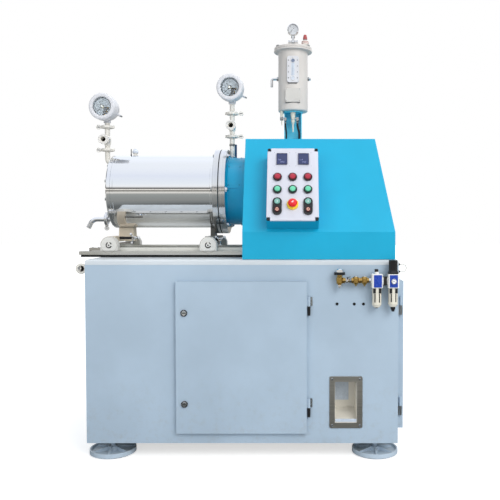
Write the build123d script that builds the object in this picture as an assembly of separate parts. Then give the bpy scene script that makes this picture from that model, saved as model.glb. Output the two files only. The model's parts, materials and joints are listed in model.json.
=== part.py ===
from build123d import *
from math import atan2, cos, pi, radians, sin, tan
import os

# A horizontal pin-type bead mill: cabinet, chamber on a carriage, hooded drive, controls and seal pot.
# Working places: X from the cabinet's middle, Y back from its front panel, Z up from the floor.
# Every solid is shifted by the origin values below when it is written, so that the
# part's origin lies on the floor under the middle of its box. All sizes are millimetres.
origin_x = -44.9
origin_y = 401.2

# Clearances
face_gap = 0.3
run_gap = 0.05
pin_gap = 0.05

# Cabinet
cab_w = 1386.0
cab_d = 860.0
cab_top = 890.0
foot_h = 70.0
sheet = 3.0
top_t = 24.0
top_chamfer = 7.0
floor_t = 8.0
post_w = 40.0

# Levelling feet
foot_inset = 92.0
foot_r = 104.0
foot_rim_h = 23.0
foot_rim_w = 7.0
foot_pad_t = 4.0
foot_hub_r = 22.0
foot_rib_t = 6.0
foot_ribs = 6
stud_r = 10.0
foot_nut_r = 17.0
foot_nut_h = 12.0
foot_plate_w = 96.0
foot_plate_t = 8.0

# Front door, an overlay pan
door_w = 577.0
door_x0 = -290.0
door_z0 = 119.0
door_z1 = 793.0
door_t = 18.0
door_sheet = 1.5
door_gap = 1.0
door_lip = 15.0

# Hinges, shared by the front door and the side door
hinge_off = 10.0
hinge_r = 6.0
hinge_pin_r = 3.0
hinge_half = 41.0
hinge_z_low = 191.0
hinge_z_high = 643.0
hinge_web_t = 4.0

# Door locks
lock_r = 15.0
lock_x_in = 37.0
lock_z_low = 251.0
lock_z_high = 655.0
lock_head_t = 7.0
lock_slot = 3.0
lock_shaft_r = 8.0
lock_cam_len = 19.0
lock_cam_w = 14.0
lock_cam_t = 4.0
lock_cam_y = 8.0

# Side door on the right-hand panel
side_t = 26.0
side_y0 = 32.0
side_y1 = 600.0
side_z0 = 130.0
side_z1 = 793.0
side_lip = 15.0

# Window with a recessed box behind it
win_w = 147.0
win_x1 = cab_w / 2 - 158.0
win_x0 = win_x1 - win_w
win_z0 = 139.0
win_z1 = 371.0
win_border = 24.0
win_t = 4.0
win_depth = 110.0
win_slope = 40.0
win_screw_r = 4.5
win_corner_r = 8.0

# Three plain holes under the air fittings
vent_r = 5.0
vent_z = 693.0
vent_xs = (cab_w / 2 - 272.0, cab_w / 2 - 196.0, cab_w / 2 - 155.0)

# Hood
hood_x0 = 2.4
hood_x1 = 678.0
hood_y0 = 3.0
hood_y1 = 760.0
hood_bend_z = 1011.0
hood_top_z = 1446.0
hood_slope = 25.0
hood_side_top_x = 610.0
hood_t = 3.0

# Chamber and drive axis
axis_y = 430.0
axis_z = 1210.0
jacket_r = 182.0
jacket_t = 4.0
cover_x0 = -673.0
cover_t = 22.0
flange_r = 210.0
flange_x0 = -160.0
gasket_x = -130.0
gasket_t = 3.0
house_flange_x1 = -98.0
cyl_r = 130.0
cyl_t = 12.0
neck_r = 166.0
neck_rim = 4.0
neck_rim_w = 38.0
neck_cover_x0 = -92.0
neck_cover_x1 = -42.0
neck_cover_t = 4.0
neck_cover_low = 3.0
neck_cover_high = 82.0

# Rotor and stator
spindle_r = 35.0
rotor_r = 70.0
rotor_x0 = -610.0
rotor_x1 = -175.0
cavity_r = 54.0
cavity_depth = 130.0
pin_r = 7.0
pin_rows = 7
pins_per_row = 8
pin_tip_gap = 12.0
screen_r = 42.0
screen_t = 3.0
screen_len = 150.0
slot_w = 4.0
slot_count = 12

# Bearings and their housing
bearing_od = 75.0
bearing_w = 32.0
bearing_ring = 12.0
cart_r = 112.0
cart_x1 = 420.0
pedestal_t = 40.0
pedestal_w = 300.0
spindle_x1 = 600.0
seal_r = 62.0
seal_len = 40.0

# Belt drive and motor
pulley_x0 = 480.0
pulley_w = 92.0
spindle_pulley_r = 125.0
motor_pulley_r = 95.0
belt_count = 4
belt_w = 16.0
belt_t = 11.0
belt_groove = 8.0
motor_z = 340.0
motor_r = 140.0
motor_x0 = 20.0
motor_len = 400.0
motor_shaft_r = 24.0
motor_foot_w = 250.0

# Flange bolts
bolt_count = 6
bolt_circle = 194.0
bolt_r = 6.0
bolt_head_r = 10.5
bolt_head_t = 9.0

# Guide rails, tray and carriage
rail_end_gap = 1.0
rail_w = 44.0
rail_foot_r = 11.0
rail_h = 17.0
rail_spacer_h = 12.0
rail_front_y = 210.0
rail_rear_y = 650.0
tray_x0 = -690.0
tray_gap = 6.0
tray_h = 47.0
tray_t = 2.0
wheel_r = 28.0
wheel_w = 16.0
axle_r = 8.0
wheel_xs = (-640.0, -174.0)
cap_r = 40.0
cap_w = 44.0
cap_wall = 4.0
wiper_len = 55.0
wiper_w = 20.0
wiper_h = 15.0
beam_z0 = 962.0
beam_h = 26.0
beam_w = 40.0
leg_x0 = -652.0
leg_x1 = -574.0
leg_in = 7.0
rear_leg_x0 = -190.0
rear_leg_x1 = -164.0
leg_half = 30.0
bleed_x = -571.0
bleed_r = 9.0
bleed_h = 34.0
slide_travel = 100.0

# Sanitary pipe and clamp fittings
pipe_r = 12.5
pipe_wall = 1.5
ferrule_r = 25.25
ferrule_t = 6.4
ferrule_bore = 14.5
tee_r = 18.0
clamp_r = 31.0
clamp_w = 13.0
tee_reach = 78.0

# Contact gauges
gauge_r = 66.0
gauge_depth = 110.0
gauge_lead = 25.0
gauge_glass_r = 45.0
gauge_back_r = 54.0
gauge_turn = -4.0
gland_r = 6.0
needle_len = 37.0
needle_t = 1.2
stem_out = 38.0
left_stem_x = cover_x0 - stem_out
left_stem_z = axis_z + 145.0
left_clamp_z = left_stem_z + 65.0
left_tee_z = left_clamp_z + 45.0
left_top_clamp_z = left_tee_z + 70.0
left_gauge_z = left_top_clamp_z + 91.0
right_stem_x = -82.0
right_clamp_z = axis_z + neck_r + 111.0
right_tee_z = right_clamp_z + 47.0
right_top_clamp_z = right_tee_z + 68.0
right_gauge_z = right_top_clamp_z + 118.0
brace_x = -67.0
brace_w = 12.0
brace_t = 6.0
brace_h = 74.0

# Product spout
spout_z = axis_z - 139.0
spout_r = 13.0
spout_reach = 114.0
spout_drop = 41.0
spout_fall = 28.0
spout_bend_r = 34.0

# Control box, square to the hood's slope
box_x = 225.0
box_w = 227.0
box_h = 360.0
box_depth = 80.0
box_mid_z = 1187.0
lid_t = 8.0
lid_notch = 16.0
display_w = 48.0
display_h = 56.0
display_t = 7.0
display_xs = (-0.212 * box_w, 0.212 * box_w)
display_v = 122.5
lamp_r = 19.5
lamp_dome_r = 13.0
lamp_h = 12.0
lamp_xs = (-0.295 * box_w, 0.0, 0.295 * box_w)
lamp_vs = (30.5, -31.5)
station_xs = (lamp_xs[0], lamp_xs[2])
station_v = -113.5
station_w = 40.0
station_h = 82.0
station_t = 9.0
button_r = 13.5
button_proud = 5.0
button_travel = 3.5
start_v = 21.0
stop_v = -18.0
estop_v = -104.5
estop_head_r = 20.0
estop_collar_r = 23.0
estop_travel = 5.0

# Seal-fluid pot on its column
pot_x = 224.5
pot_y = 350.0
col_w = 86.0
col_d = 45.0
col_t = 4.0
pot_r = 72.0
pot_t = 3.0
pot_z0 = hood_top_z + 149.0
pot_h = 289.0
pot_z1 = pot_z0 + pot_h
pot_lid_r = 93.0
pot_lid_t = 21.0
pot_plate_r = 50.0
pot_plate_t = 6.0
sight_w = 57.0
sight_h = 126.0
sight_z0 = pot_z0 + 129.0
sight_corner = 12.0
plate_w = 72.0
plate_h = 66.0
plate_z0 = pot_z0 + 37.0
side_z = pot_z0 + 161.0
pot_gauge_r = 28.0
pot_gauge_rise = 89.0
pot_gauge_z = pot_z1 + pot_lid_t + pot_gauge_rise

# Air preparation unit, brass manifold and ports
air_xs = (cab_w / 2 - 101.0, cab_w / 2 - 30.0)
air_y = -34.0
air_w = 48.0
air_d = 50.0
air_z0 = 768.0
air_z1 = 829.0
bowl_r = 21.0
bowl_z0 = 683.0
drain_z0 = 661.0
knob_r = 21.0
knob_z1 = 889.0
manifold_x = cab_w / 2 - 263.0
manifold_knob_r = 25.0
tee_xs = (cab_w / 2 - 192.0, cab_w / 2 - 154.0)
tube_r = 3.0
loop_z = 834.0
loop_h = 32.0
loop_y = 40.0
loop_reach = 40.0
loop_bend = 15.0
port_reach = 53.0
port_x = -cab_w / 2 - port_reach
port_run = 52.0
port_bend = 34.0
port_y = 110.0
port_z = 842.0


def block(x0, x1, y0, y1, z0, z1):
    return Pos((x0 + x1) / 2, (y0 + y1) / 2, (z0 + z1) / 2) * Box(x1 - x0, y1 - y0, z1 - z0)


def rod_x(r, x0, x1, y, z):
    return Pos((x0 + x1) / 2, y, z) * Rot(0, 90, 0) * Cylinder(r, x1 - x0)


def rod_y(r, y0, y1, x, z):
    return Pos(x, (y0 + y1) / 2, z) * Rot(90, 0, 0) * Cylinder(r, y1 - y0)


def rod_z(r, z0, z1, x, y):
    return Pos(x, y, (z0 + z1) / 2) * Cylinder(r, z1 - z0)


def ring_x(r, bore, x0, x1, y, z):
    return rod_x(r, x0, x1, y, z) - rod_x(bore, x0 - 1, x1 + 1, y, z)


def lathe(points):
    # Turned about Z from (radius, height) points
    outline = Polyline(*[(r, 0, h) for r, h in points], close=True)
    return revolve(make_face(outline), Axis.Z)


def plate_yz(points, x0, x1):
    # Flat outline of (y, z) points carried from x0 to x1
    outline = Polyline(*[(x0, y, z) for y, z in points], close=True)
    return extrude(make_face(outline), amount=x1 - x0, dir=(1, 0, 0))


def plate_xz(points, y0, y1):
    # Flat outline of (x, z) points carried from y0 to y1
    outline = Polyline(*[(x, y0, z) for x, z in points], close=True)
    return extrude(make_face(outline), amount=y1 - y0, dir=(0, 1, 0))


def pipe(points, radii, r, bore=0.0):
    # Round bar or tube along straight runs joined by arcs
    path = FilletPolyline(*points, radius=radii)
    start = Plane(origin=path @ 0, z_dir=path % 0)
    bar = sweep(start * Circle(r), path=path)
    if bore:
        bar -= sweep(start * Circle(bore), path=path)
    return bar


def save(name, *shapes):
    solids = [s for shape in shapes for s in shape.solids()]
    moved = Compound(solids).moved(Location((-origin_x, -origin_y, 0)))
    export_step(moved, "parts/" + name + ".step")


# Cabinet

def cabinet_top_plate():
    z0 = cab_top - top_t
    plate = block(-cab_w / 2, cab_w / 2, 0, cab_d, z0, cab_top)
    rim = [e for e in plate.edges().filter_by(GeomType.LINE) if abs(e.center().Z - cab_top) < 0.01]
    plate = chamfer(rim, top_chamfer)
    belt_slot = block(pulley_x0 - 15, pulley_x0 + pulley_w + 15, axis_y - spindle_pulley_r - 20,
                      axis_y + spindle_pulley_r + 20, z0 - 1, cab_top + 1)
    return plate - belt_slot


def cabinet_front_panel():
    z1 = cab_top - top_t
    panel = block(-cab_w / 2, cab_w / 2, 0, sheet, foot_h, z1)
    door_hole = block(door_x0 + door_lip, door_x0 + door_w - door_lip, -1, sheet + 1,
                      door_z0 + door_lip, door_z1 - door_lip)
    window = block(win_x0 + win_border, win_x1 - win_border, -1, sheet + 1,
                   win_z0 + win_border, win_z1 - win_border)
    vents = [rod_y(vent_r, -1, sheet + 1, x, vent_z) for x in vent_xs]
    return panel - door_hole - window - vents


def cabinet_side_panels():
    z1 = cab_top - top_t
    y1 = cab_d - sheet
    left = block(-cab_w / 2, -cab_w / 2 + sheet, sheet, y1, foot_h, z1)
    right = block(cab_w / 2 - sheet, cab_w / 2, sheet, y1, foot_h, z1)
    right -= block(cab_w / 2 - sheet - 1, cab_w / 2 + 1, side_y0 + side_lip, side_y1 - side_lip,
                   side_z0 + side_lip, side_z1 - side_lip)
    back = block(-cab_w / 2, cab_w / 2, y1, cab_d, foot_h, z1)
    return [left, right, back]


def cabinet_frame():
    inner_x = cab_w / 2 - sheet
    y1 = cab_d - sheet
    floor = block(-inner_x, inner_x, sheet, y1, foot_h, foot_h + floor_t)
    posts = []
    for side in (-1, 1):
        for y0 in (sheet, y1 - post_w):
            x0 = side * (inner_x - post_w / 2) - post_w / 2
            posts.append(block(x0, x0 + post_w, y0, y0 + post_w, foot_h + floor_t, cab_top - top_t))
    return [floor] + posts


def foot_places():
    for side in (-1, 1):
        for y in (foot_inset - 2, cab_d - foot_inset + 2):
            yield side * (cab_w / 2 - foot_inset), y


def levelling_feet():
    bottom = foot_pad_t
    rim = foot_r - foot_rim_w
    dish = lathe([(0, bottom), (foot_r, bottom), (foot_r, foot_rim_h), (rim, foot_rim_h),
                  (rim - 3, bottom + 8), (foot_hub_r + 4, bottom + 8), (foot_hub_r, bottom + 26),
                  (0, bottom + 26)])
    rib = plate_xz([(foot_hub_r - 3, bottom + 6), (rim - 2, bottom + 6), (rim - 2, bottom + 12),
                    (foot_hub_r - 3, bottom + 26)], -foot_rib_t / 2, foot_rib_t / 2)
    dish += [Rot(0, 0, 360 / foot_ribs * (n + 0.5)) * rib for n in range(foot_ribs)]
    stud = rod_z(stud_r, bottom + 26, foot_h - foot_plate_t, 0, 0)
    nut_z = foot_h - foot_plate_t - foot_nut_h
    nut = extrude(Pos(0, 0, nut_z) * RegularPolygon(foot_nut_r, 6), amount=foot_nut_h)
    nut -= rod_z(stud_r, nut_z - 1, foot_h, 0, 0)
    plate = block(-foot_plate_w / 2, foot_plate_w / 2, -foot_plate_w / 2, foot_plate_w / 2,
                  foot_h - foot_plate_t, foot_h)
    return [Pos(x, y, 0) * piece for x, y in foot_places() for piece in (dish, stud, nut, plate)]


def foot_pads():
    return [rod_z(foot_r - foot_rim_w, 0, foot_pad_t, x, y) for x, y in foot_places()]


# Hinges: the fixed half carries the pin, and the door's half turns on it

def hinge_web(x, y, dx, dy, reach, z0, z1):
    half = hinge_web_t / 2
    near = hinge_r - 1
    if dx:
        x0, x1 = sorted((x + dx * near, x + dx * reach))
        return block(x0, x1, y - half, y + half, z0, z1)
    y0, y1 = sorted((y + dy * near, y + dy * reach))
    return block(x - half, x + half, y0, y1, z0, z1)


def fixed_half(x, y, z, dx, dy, reach):
    knuckle = rod_z(hinge_r, z, z + hinge_half, x, y)
    pin = rod_z(hinge_pin_r, z + hinge_half - 1, z + 2 * hinge_half - 3, x, y)
    return knuckle + pin + hinge_web(x, y, dx, dy, reach, z, z + hinge_half)


def door_half(x, y, z, dx, dy, reach):
    z0 = z + hinge_half + face_gap
    z1 = z + 2 * hinge_half
    knuckle = rod_z(hinge_r, z0, z1, x, y)
    knuckle += hinge_web(x, y, dx, dy, reach, z0, z1)
    return knuckle - rod_z(hinge_pin_r + run_gap, z0 - 1, z1 - 2.5, x, y)


front_hinge_x = door_x0 + door_w + hinge_off
front_hinge_y = -door_gap - door_t / 2
side_hinge_x = cab_w / 2 + door_gap + side_t / 2
side_hinge_y = side_y0 - hinge_off


def hinge_halves():
    fixed = []
    for z in (hinge_z_low, hinge_z_high):
        fixed.append(fixed_half(front_hinge_x, front_hinge_y, z, 0, 1, -front_hinge_y))
        fixed.append(fixed_half(side_hinge_x, side_hinge_y, z, -1, 0, side_hinge_x - cab_w / 2))
    return fixed


def pan_door(x0, x1, y0, y1, z0, z1, open_face):
    # A folded sheet pan, open towards the cabinet
    t = door_sheet
    if open_face == "+Y":
        inner = block(x0 + t, x1 - t, y0 + t, y1 + 1, z0 + t, z1 - t)
    else:
        inner = block(x0 - 1, x1 - t, y0 + t, y1 - t, z0 + t, z1 - t)
    return block(x0, x1, y0, y1, z0, z1) - inner


def lock_places():
    return [(door_x0 + lock_x_in, z) for z in (lock_z_low, lock_z_high)]


def front_door():
    pan = pan_door(door_x0, door_x0 + door_w, -door_gap - door_t, -door_gap, door_z0, door_z1, "+Y")
    for z in (hinge_z_low, hinge_z_high):
        pan += door_half(front_hinge_x, front_hinge_y, z, -1, 0, hinge_off + 0.5)
    front = -door_gap - door_t
    for x, z in lock_places():
        pan += rod_y(lock_r + 4, front, front + 4, x, z)
        pan -= rod_y(lock_shaft_r + run_gap, front - 1, front + 6, x, z)
    return pan


def door_lock(x, z):
    front = -door_gap - door_t
    head = rod_y(lock_r, front - lock_head_t, front - face_gap, x, z)
    head -= block(x - lock_r + 4, x + lock_r - 4, front - lock_head_t - 1, front - lock_head_t + 3,
                  z - lock_slot / 2, z + lock_slot / 2)
    shaft = rod_y(lock_shaft_r, front - 1, lock_cam_y, x, z)
    cam = block(x - lock_cam_len, x, lock_cam_y - lock_cam_t, lock_cam_y, z - lock_cam_w / 2,
                z + lock_cam_w / 2)
    return head + shaft + cam


def side_door():
    x0 = cab_w / 2 + door_gap
    pan = pan_door(x0, x0 + side_t, side_y0, side_y1, side_z0, side_z1, "-X")
    for z in (hinge_z_low, hinge_z_high):
        pan += door_half(side_hinge_x, side_hinge_y, z, 0, 1, hinge_off + 0.5)
    return pan


def window_frame():
    frame = block(win_x0, win_x1, -win_t, 0, win_z0, win_z1)
    frame = fillet(frame.edges().filter_by(Axis.Y), win_corner_r)
    frame -= block(win_x0 + win_border, win_x1 - win_border, -win_t - 1, 1,
                   win_z0 + win_border, win_z1 - win_border)
    in_by = win_border / 2
    screws = [rod_y(win_screw_r, -win_t - 2, -win_t, x, z)
              for x in (win_x0 + in_by, win_x1 - in_by) for z in (win_z0 + in_by, win_z1 - in_by)]
    x0, x1 = win_x0 + win_border, win_x1 - win_border
    z0, z1 = win_z0 + win_border, win_z1 - win_border
    y0 = sheet
    recess = block(x0 - sheet, x1 + sheet, y0, y0 + win_depth, z0 - sheet, z1 + sheet)
    recess -= plate_yz([(y0 - 1, z0), (y0 - 1, z1), (win_depth, z1), (win_depth, z0 + win_slope)], x0, x1)
    return [frame, recess] + screws


# Hood, a folded sheet shell over the drive

def hood_block(inset):
    lean = tan(radians(hood_slope))
    front_top = hood_y0 + (hood_top_z - hood_bend_z) * lean
    top = hood_top_z - inset
    shift = inset / cos(radians(hood_slope)) - inset * lean
    low = hood_y0 + inset
    outline = [(low, cab_top - (1 if inset else 0)), (low, hood_bend_z - inset * 0.2),
               (front_top + shift, top), (hood_y1 - inset, top),
               (hood_y1 - inset, cab_top - (1 if inset else 0))]
    solid = plate_yz(outline, hood_x0 + inset, hood_x1 - inset)
    x_top = hood_side_top_x - inset
    x_low = hood_x1 - inset
    wedge = plate_xz([(x_low, hood_bend_z), (x_top, top), (x_top, top + 50), (x_low + 50, top + 50),
                      (x_low + 50, hood_bend_z)], -100, cab_d + 100)
    return solid - wedge


def hood_shell():
    shell = hood_block(0) - hood_block(hood_t)
    shell -= rod_x(neck_r + face_gap, hood_x0 - 1, hood_x0 + hood_t + 1, axis_y, axis_z)
    for (x, y), r in zip(hose_entries(), hose_rs):
        shell -= rod_z(r + 2, hood_top_z - hood_t - 1, hood_top_z + 1, x, y)
    return shell


# Bearing housing, seal and bearings

def bearing_housing():
    neck = rod_x(neck_r, house_flange_x1, hood_x0 + 30, axis_y, axis_z)
    neck += rod_x(neck_r + neck_rim, hood_x0 - face_gap - neck_rim_w, hood_x0 - face_gap, axis_y, axis_z)
    cart = rod_x(cart_r, hood_x0 + 30, cart_x1, axis_y, axis_z)
    feet = []
    for x0 in (hood_x0 + 60, cart_x1 - pedestal_t):
        post = block(x0, x0 + pedestal_t, axis_y - pedestal_w / 2, axis_y + pedestal_w / 2, cab_top + 20,
                     axis_z)
        base = block(x0 - 20, x0 + pedestal_t + 20, axis_y - pedestal_w / 2 - 30,
                     axis_y + pedestal_w / 2 + 30,
                     cab_top, cab_top + 20)
        feet += [post, base]
    body = neck + [cart] + feet
    body -= rod_x(bearing_od, hood_x0 + 40, cart_x1 + 1, axis_y, axis_z)
    body -= rod_x(seal_r + face_gap, house_flange_x1 - 1, hood_x0 + 41, axis_y, axis_z)
    return body


def inspection_cover():
    # A plate bent round the neck: the slice of a ring between two angles
    x0, x1 = neck_cover_x0, neck_cover_x1
    curve = ring_x(neck_r + neck_cover_t, neck_r, x0, x1, axis_y, axis_z)
    reach = 2 * neck_r
    fan = [(axis_y, axis_z)]
    for n in range(5):
        a = radians(neck_cover_low + (neck_cover_high - neck_cover_low) * n / 4)
        fan.append((axis_y - reach * cos(a), axis_z + reach * sin(a)))
    return curve & plate_yz(fan, x0 - 1, x1 + 1)


def housing_flange():
    ring = ring_x(flange_r, seal_r + face_gap, gasket_x, house_flange_x1, axis_y, axis_z)
    return ring - [rod_x(bolt_r + run_gap, gasket_x - 1, house_flange_x1 + 1, y, z) for y,
                   z in bolt_places()]


def bolt_places():
    for n in range(bolt_count):
        a = radians(360 / bolt_count * n)
        yield axis_y + bolt_circle * cos(a), axis_z + bolt_circle * sin(a)


def flange_bolts():
    head_r, head_t = bolt_head_r, bolt_head_t
    dome = lathe([(0, 0), (head_r, 0), (head_r, head_t * 0.4), (head_r * 0.7, head_t * 0.85), (0, head_t)])
    bolts = []
    for y, z in bolt_places():
        shank = rod_x(bolt_r, flange_x0 + 4, house_flange_x1 + 1, y, z)
        bolts.append(shank + Pos(house_flange_x1, y, z) * Rot(0, 90, 0) * dome)
    return bolts


def bearing_places():
    yield hood_x0 + 42
    yield cart_x1 - bearing_w - 2


def spindle_bearings():
    rings = []
    for x0 in bearing_places():
        inner = spindle_r + bearing_ring
        outer = bearing_od - bearing_ring
        rings.append(ring_x(inner, spindle_r + pin_gap, x0, x0 + bearing_w, axis_y, axis_z))
        rings.append(ring_x(bearing_od - 0.02, outer, x0, x0 + bearing_w, axis_y, axis_z))
        ball_r = (outer - inner) / 2 - 0.05
        mid = (outer + inner) / 2
        for n in range(14):
            a = 2 * pi * n / 14
            rings.append(Pos(x0 + bearing_w / 2, axis_y + mid * cos(a),
                             axis_z + mid * sin(a)) * Sphere(ball_r))
    seal = ring_x(seal_r, spindle_r + pin_gap, house_flange_x1 - seal_len + 4, hood_x0 + 30, axis_y, axis_z)
    return rings + [seal]


# Rotor and belt drive

def pin_rotor():
    body = rod_x(rotor_r, rotor_x0, rotor_x1, axis_y, axis_z)
    body += rod_x(spindle_r, rotor_x1 - 1, spindle_x1, axis_y, axis_z)
    reach = cyl_r - pin_tip_gap
    step = (rotor_x1 - rotor_x0 - 60) / (pin_rows - 1)
    pins = []
    for row in range(pin_rows):
        x = rotor_x0 + 30 + row * step
        for n in range(pins_per_row):
            a = 360 / pins_per_row * n
            pins.append(Pos(x, axis_y, axis_z) * Rot(a, 0, 0) * rod_z(pin_r, rotor_r - 6, reach, 0, 0))
    body += pins
    body -= rod_x(cavity_r, rotor_x0 - 1, rotor_x0 + cavity_depth, axis_y, axis_z)
    slots = [Pos(rotor_x0 + cavity_depth * 0.45, axis_y, axis_z) * Rot(45 * n + 22.5, 0, 0)
             * Pos(0, 0, (rotor_r + cavity_r) / 2) * Box(cavity_depth * 0.5, 12, 30) for n in range(8)]
    body -= slots
    return [body, grooved_pulley(spindle_pulley_r, spindle_r + face_gap, axis_z)]


def grooved_pulley(r, bore, z):
    # V-grooved belt pulley: its rim profile turned about the X direction
    pitch = pulley_w / belt_count
    points = [(bore, 0), (r, 0)]
    for n in range(belt_count):
        mid = pitch * (n + 0.5)
        half = belt_w / 2 + 1
        points += [(r, mid - half), (r - belt_groove, mid - half + 3), (r - belt_groove, mid + half - 3),
                   (r, mid + half)]
    points += [(r, pulley_w), (bore, pulley_w)]
    return Pos(pulley_x0, axis_y, z) * Rot(0, 90, 0) * lathe(points)


def motor_pulley():
    shaft = rod_x(motor_shaft_r, motor_x0 + motor_len - 38, pulley_x0 + pulley_w, axis_y, motor_z)
    return [shaft, grooved_pulley(motor_pulley_r, motor_shaft_r + face_gap, motor_z)]


def drive_belts():
    # Each belt is the tangent loop about both pulleys, less the same loop one belt thickness in
    pitch = pulley_w / belt_count
    belts = []
    for n in range(belt_count):
        mid = pulley_x0 + pitch * (n + 0.5)
        outer = belt_loop(mid, belt_w - 7, belt_t)
        inner = belt_loop(mid, belt_w, 0)
        belts.append(outer - inner)
    return belts


def belt_loop(mid, width, thick):
    big = spindle_pulley_r - belt_groove + face_gap + thick
    small = motor_pulley_r - belt_groove + face_gap + thick
    span = axis_z - motor_z
    lean = (big - small) / span
    tilt = atan2(lean, (1 - lean * lean) ** 0.5)
    corners = []
    for sign, z, r in ((1, axis_z, big), (1, motor_z, small), (-1, motor_z, small), (-1, axis_z, big)):
        corners.append((axis_y + sign * r * cos(tilt), z + r * sin(tilt)))
    x0 = mid - width / 2
    web = plate_yz(corners, x0, x0 + width)
    return web + rod_x(big, x0, x0 + width, axis_y, axis_z) + rod_x(small, x0, x0 + width, axis_y, motor_z)


def drive_motor():
    x1 = motor_x0 + motor_len
    body = rod_x(motor_r, motor_x0, x1, axis_y, motor_z)
    fins = [Pos(motor_x0 + motor_len / 2, axis_y, motor_z) * Rot(360 / 24 * n, 0, 0)
            * Pos(0, 0, motor_r + 4) * Box(motor_len - 60, 4, 14) for n in range(24)]
    box = block(motor_x0 + 120, motor_x0 + 240, axis_y - 60, axis_y + 60, motor_z + motor_r - 10,
                motor_z + motor_r + 70)
    feet = block(motor_x0 + 60, x1 - 60, axis_y - motor_foot_w / 2, axis_y + motor_foot_w / 2,
                 motor_z - motor_r - 20, motor_z - motor_r + 10)
    base_z = foot_h + floor_t
    stand = [block(x0, x0 + 40, axis_y - motor_foot_w / 2, axis_y + motor_foot_w / 2, base_z,
                   motor_z - motor_r - 20) for x0 in (motor_x0 + 70, x1 - 110)]
    body = body + fins + box + feet + stand
    return body - rod_x(motor_shaft_r + face_gap, x1 - 40, x1 + 1, axis_y, motor_z)


# Grinding chamber, all of it on the carriage

def chamber_jacket():
    cover_x1 = cover_x0 + cover_t
    liner_r = cyl_r + cyl_t
    shell = ring_x(jacket_r, jacket_r - jacket_t, cover_x1, flange_x0, axis_y, axis_z)
    rear = ring_x(flange_r, liner_r + face_gap, flange_x0, gasket_x - gasket_t, axis_y, axis_z)
    rear -= [rod_x(bolt_r + run_gap, flange_x0 - 1, gasket_x, y, z) for y, z in bolt_places()]
    front = ring_x(jacket_r - 1, liner_r + face_gap, cover_x1, cover_x1 + 12, axis_y, axis_z)
    body = shell + rear + front
    body -= ring_x(jacket_r - jacket_t, liner_r, cover_x1 + 12, flange_x0, axis_y, axis_z)
    top = axis_z + jacket_r
    bleed = lathe([(0, -8), (bleed_r, -8), (bleed_r, 12), (bleed_r + 6, 15), (bleed_r + 6, 22),
                   (bleed_r - 3, bleed_h),
                   (0, bleed_h)])
    bleed -= rod_x(jacket_r + 0.01, -40, 40, 0, -jacket_r)
    return [body, Pos(bleed_x, axis_y, top) * bleed]


def grinding_cylinder():
    cover_x1 = cover_x0 + cover_t
    liner = rod_x(cyl_r + cyl_t, cover_x1, gasket_x - gasket_t, axis_y, axis_z)
    step = (rotor_x1 - rotor_x0 - 60) / (pin_rows - 1)
    liner -= rod_x(cyl_r, cover_x1 - 1, gasket_x, axis_y, axis_z)
    pins = []
    for row in range(pin_rows - 1):
        x = rotor_x0 + 30 + (row + 0.5) * step
        for n in range(pins_per_row):
            a = 360 / pins_per_row * (n + 0.5)
            pins.append(Pos(x, axis_y, axis_z) * Rot(a, 0, 0)
                        * rod_z(pin_r, rotor_r + pin_tip_gap, cyl_r + 4, 0, 0))
    gasket = ring_x(flange_r - 1, cyl_r + cyl_t, gasket_x - gasket_t, gasket_x - face_gap, axis_y, axis_z)
    gasket -= [rod_x(bolt_r + 1, gasket_x - 10, gasket_x + 1, y, z) for y, z in bolt_places()]
    return [liner + pins, gasket]


def end_cover():
    x1 = cover_x0 + cover_t
    disc = rod_x(jacket_r, cover_x0, x1, axis_y, axis_z)
    disc = chamfer(disc.edges().filter_by(GeomType.CIRCLE).sort_by(Axis.X)[0], 3)
    disc -= rod_x(pipe_r - pipe_wall, cover_x0 - 1, x1 + 1, axis_y, left_stem_z)
    disc -= rod_x(spout_r - pipe_wall, cover_x0 - 1, x1 + 1, axis_y, spout_z)
    screen = ring_x(screen_r, screen_r - screen_t, x1, x1 + screen_len, axis_y, axis_z)
    screen -= [Pos(x1 + screen_len * 0.55, axis_y, axis_z) * Rot(360 / slot_count * n, 0, 0) * Pos(0, 0,
                                                                                                   screen_r)
               * Box(screen_len * 0.7, slot_w, 20) for n in range(slot_count)]
    screws = []
    for n in range(12):
        a = 2 * pi * (n + 0.5) / 12
        y, z = axis_y + 166 * cos(a), axis_z + 166 * sin(a)
        screws.append(rod_x(8, cover_x0 - 7, cover_x0, y, z))
    return [disc, screen] + screws


# Rails, tray and carriage

rail_z0 = cab_top + rail_spacer_h
rail_top = rail_z0 + rail_h
wheel_z = rail_top + face_gap + wheel_r
rail_x0 = wheel_xs[0] - cap_r - slide_travel - rail_end_gap
rail_x1 = hood_x0 - face_gap


def guide_rails():
    rails = []
    for y in (rail_front_y, rail_rear_y):
        bar = block(rail_x0, rail_x1, y - rail_w / 2, y + rail_w / 2, rail_z0, rail_top)
        for n in range(4):
            x = -cab_w / 2 + 40 + n * 200
            bar += rod_z(rail_foot_r, cab_top, rail_z0 + 1, x, y)
        rails.append(bar)
    return rails


def drip_tray():
    y0 = rail_front_y + cap_w / 2 + tray_gap
    y1 = rail_rear_y - cap_w / 2 - tray_gap
    x1 = hood_x0 - tray_gap
    tray = block(tray_x0, x1, y0, y1, cab_top, cab_top + tray_h)
    return tray - block(tray_x0 + tray_t, x1 - tray_t, y0 + tray_t, y1 - tray_t, cab_top + tray_t,
                        cab_top + tray_h + 1)


def cover_places():
    return [(x, y, s) for x in wheel_xs for y, s in ((rail_front_y, -1), (rail_rear_y, 1))]


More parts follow.
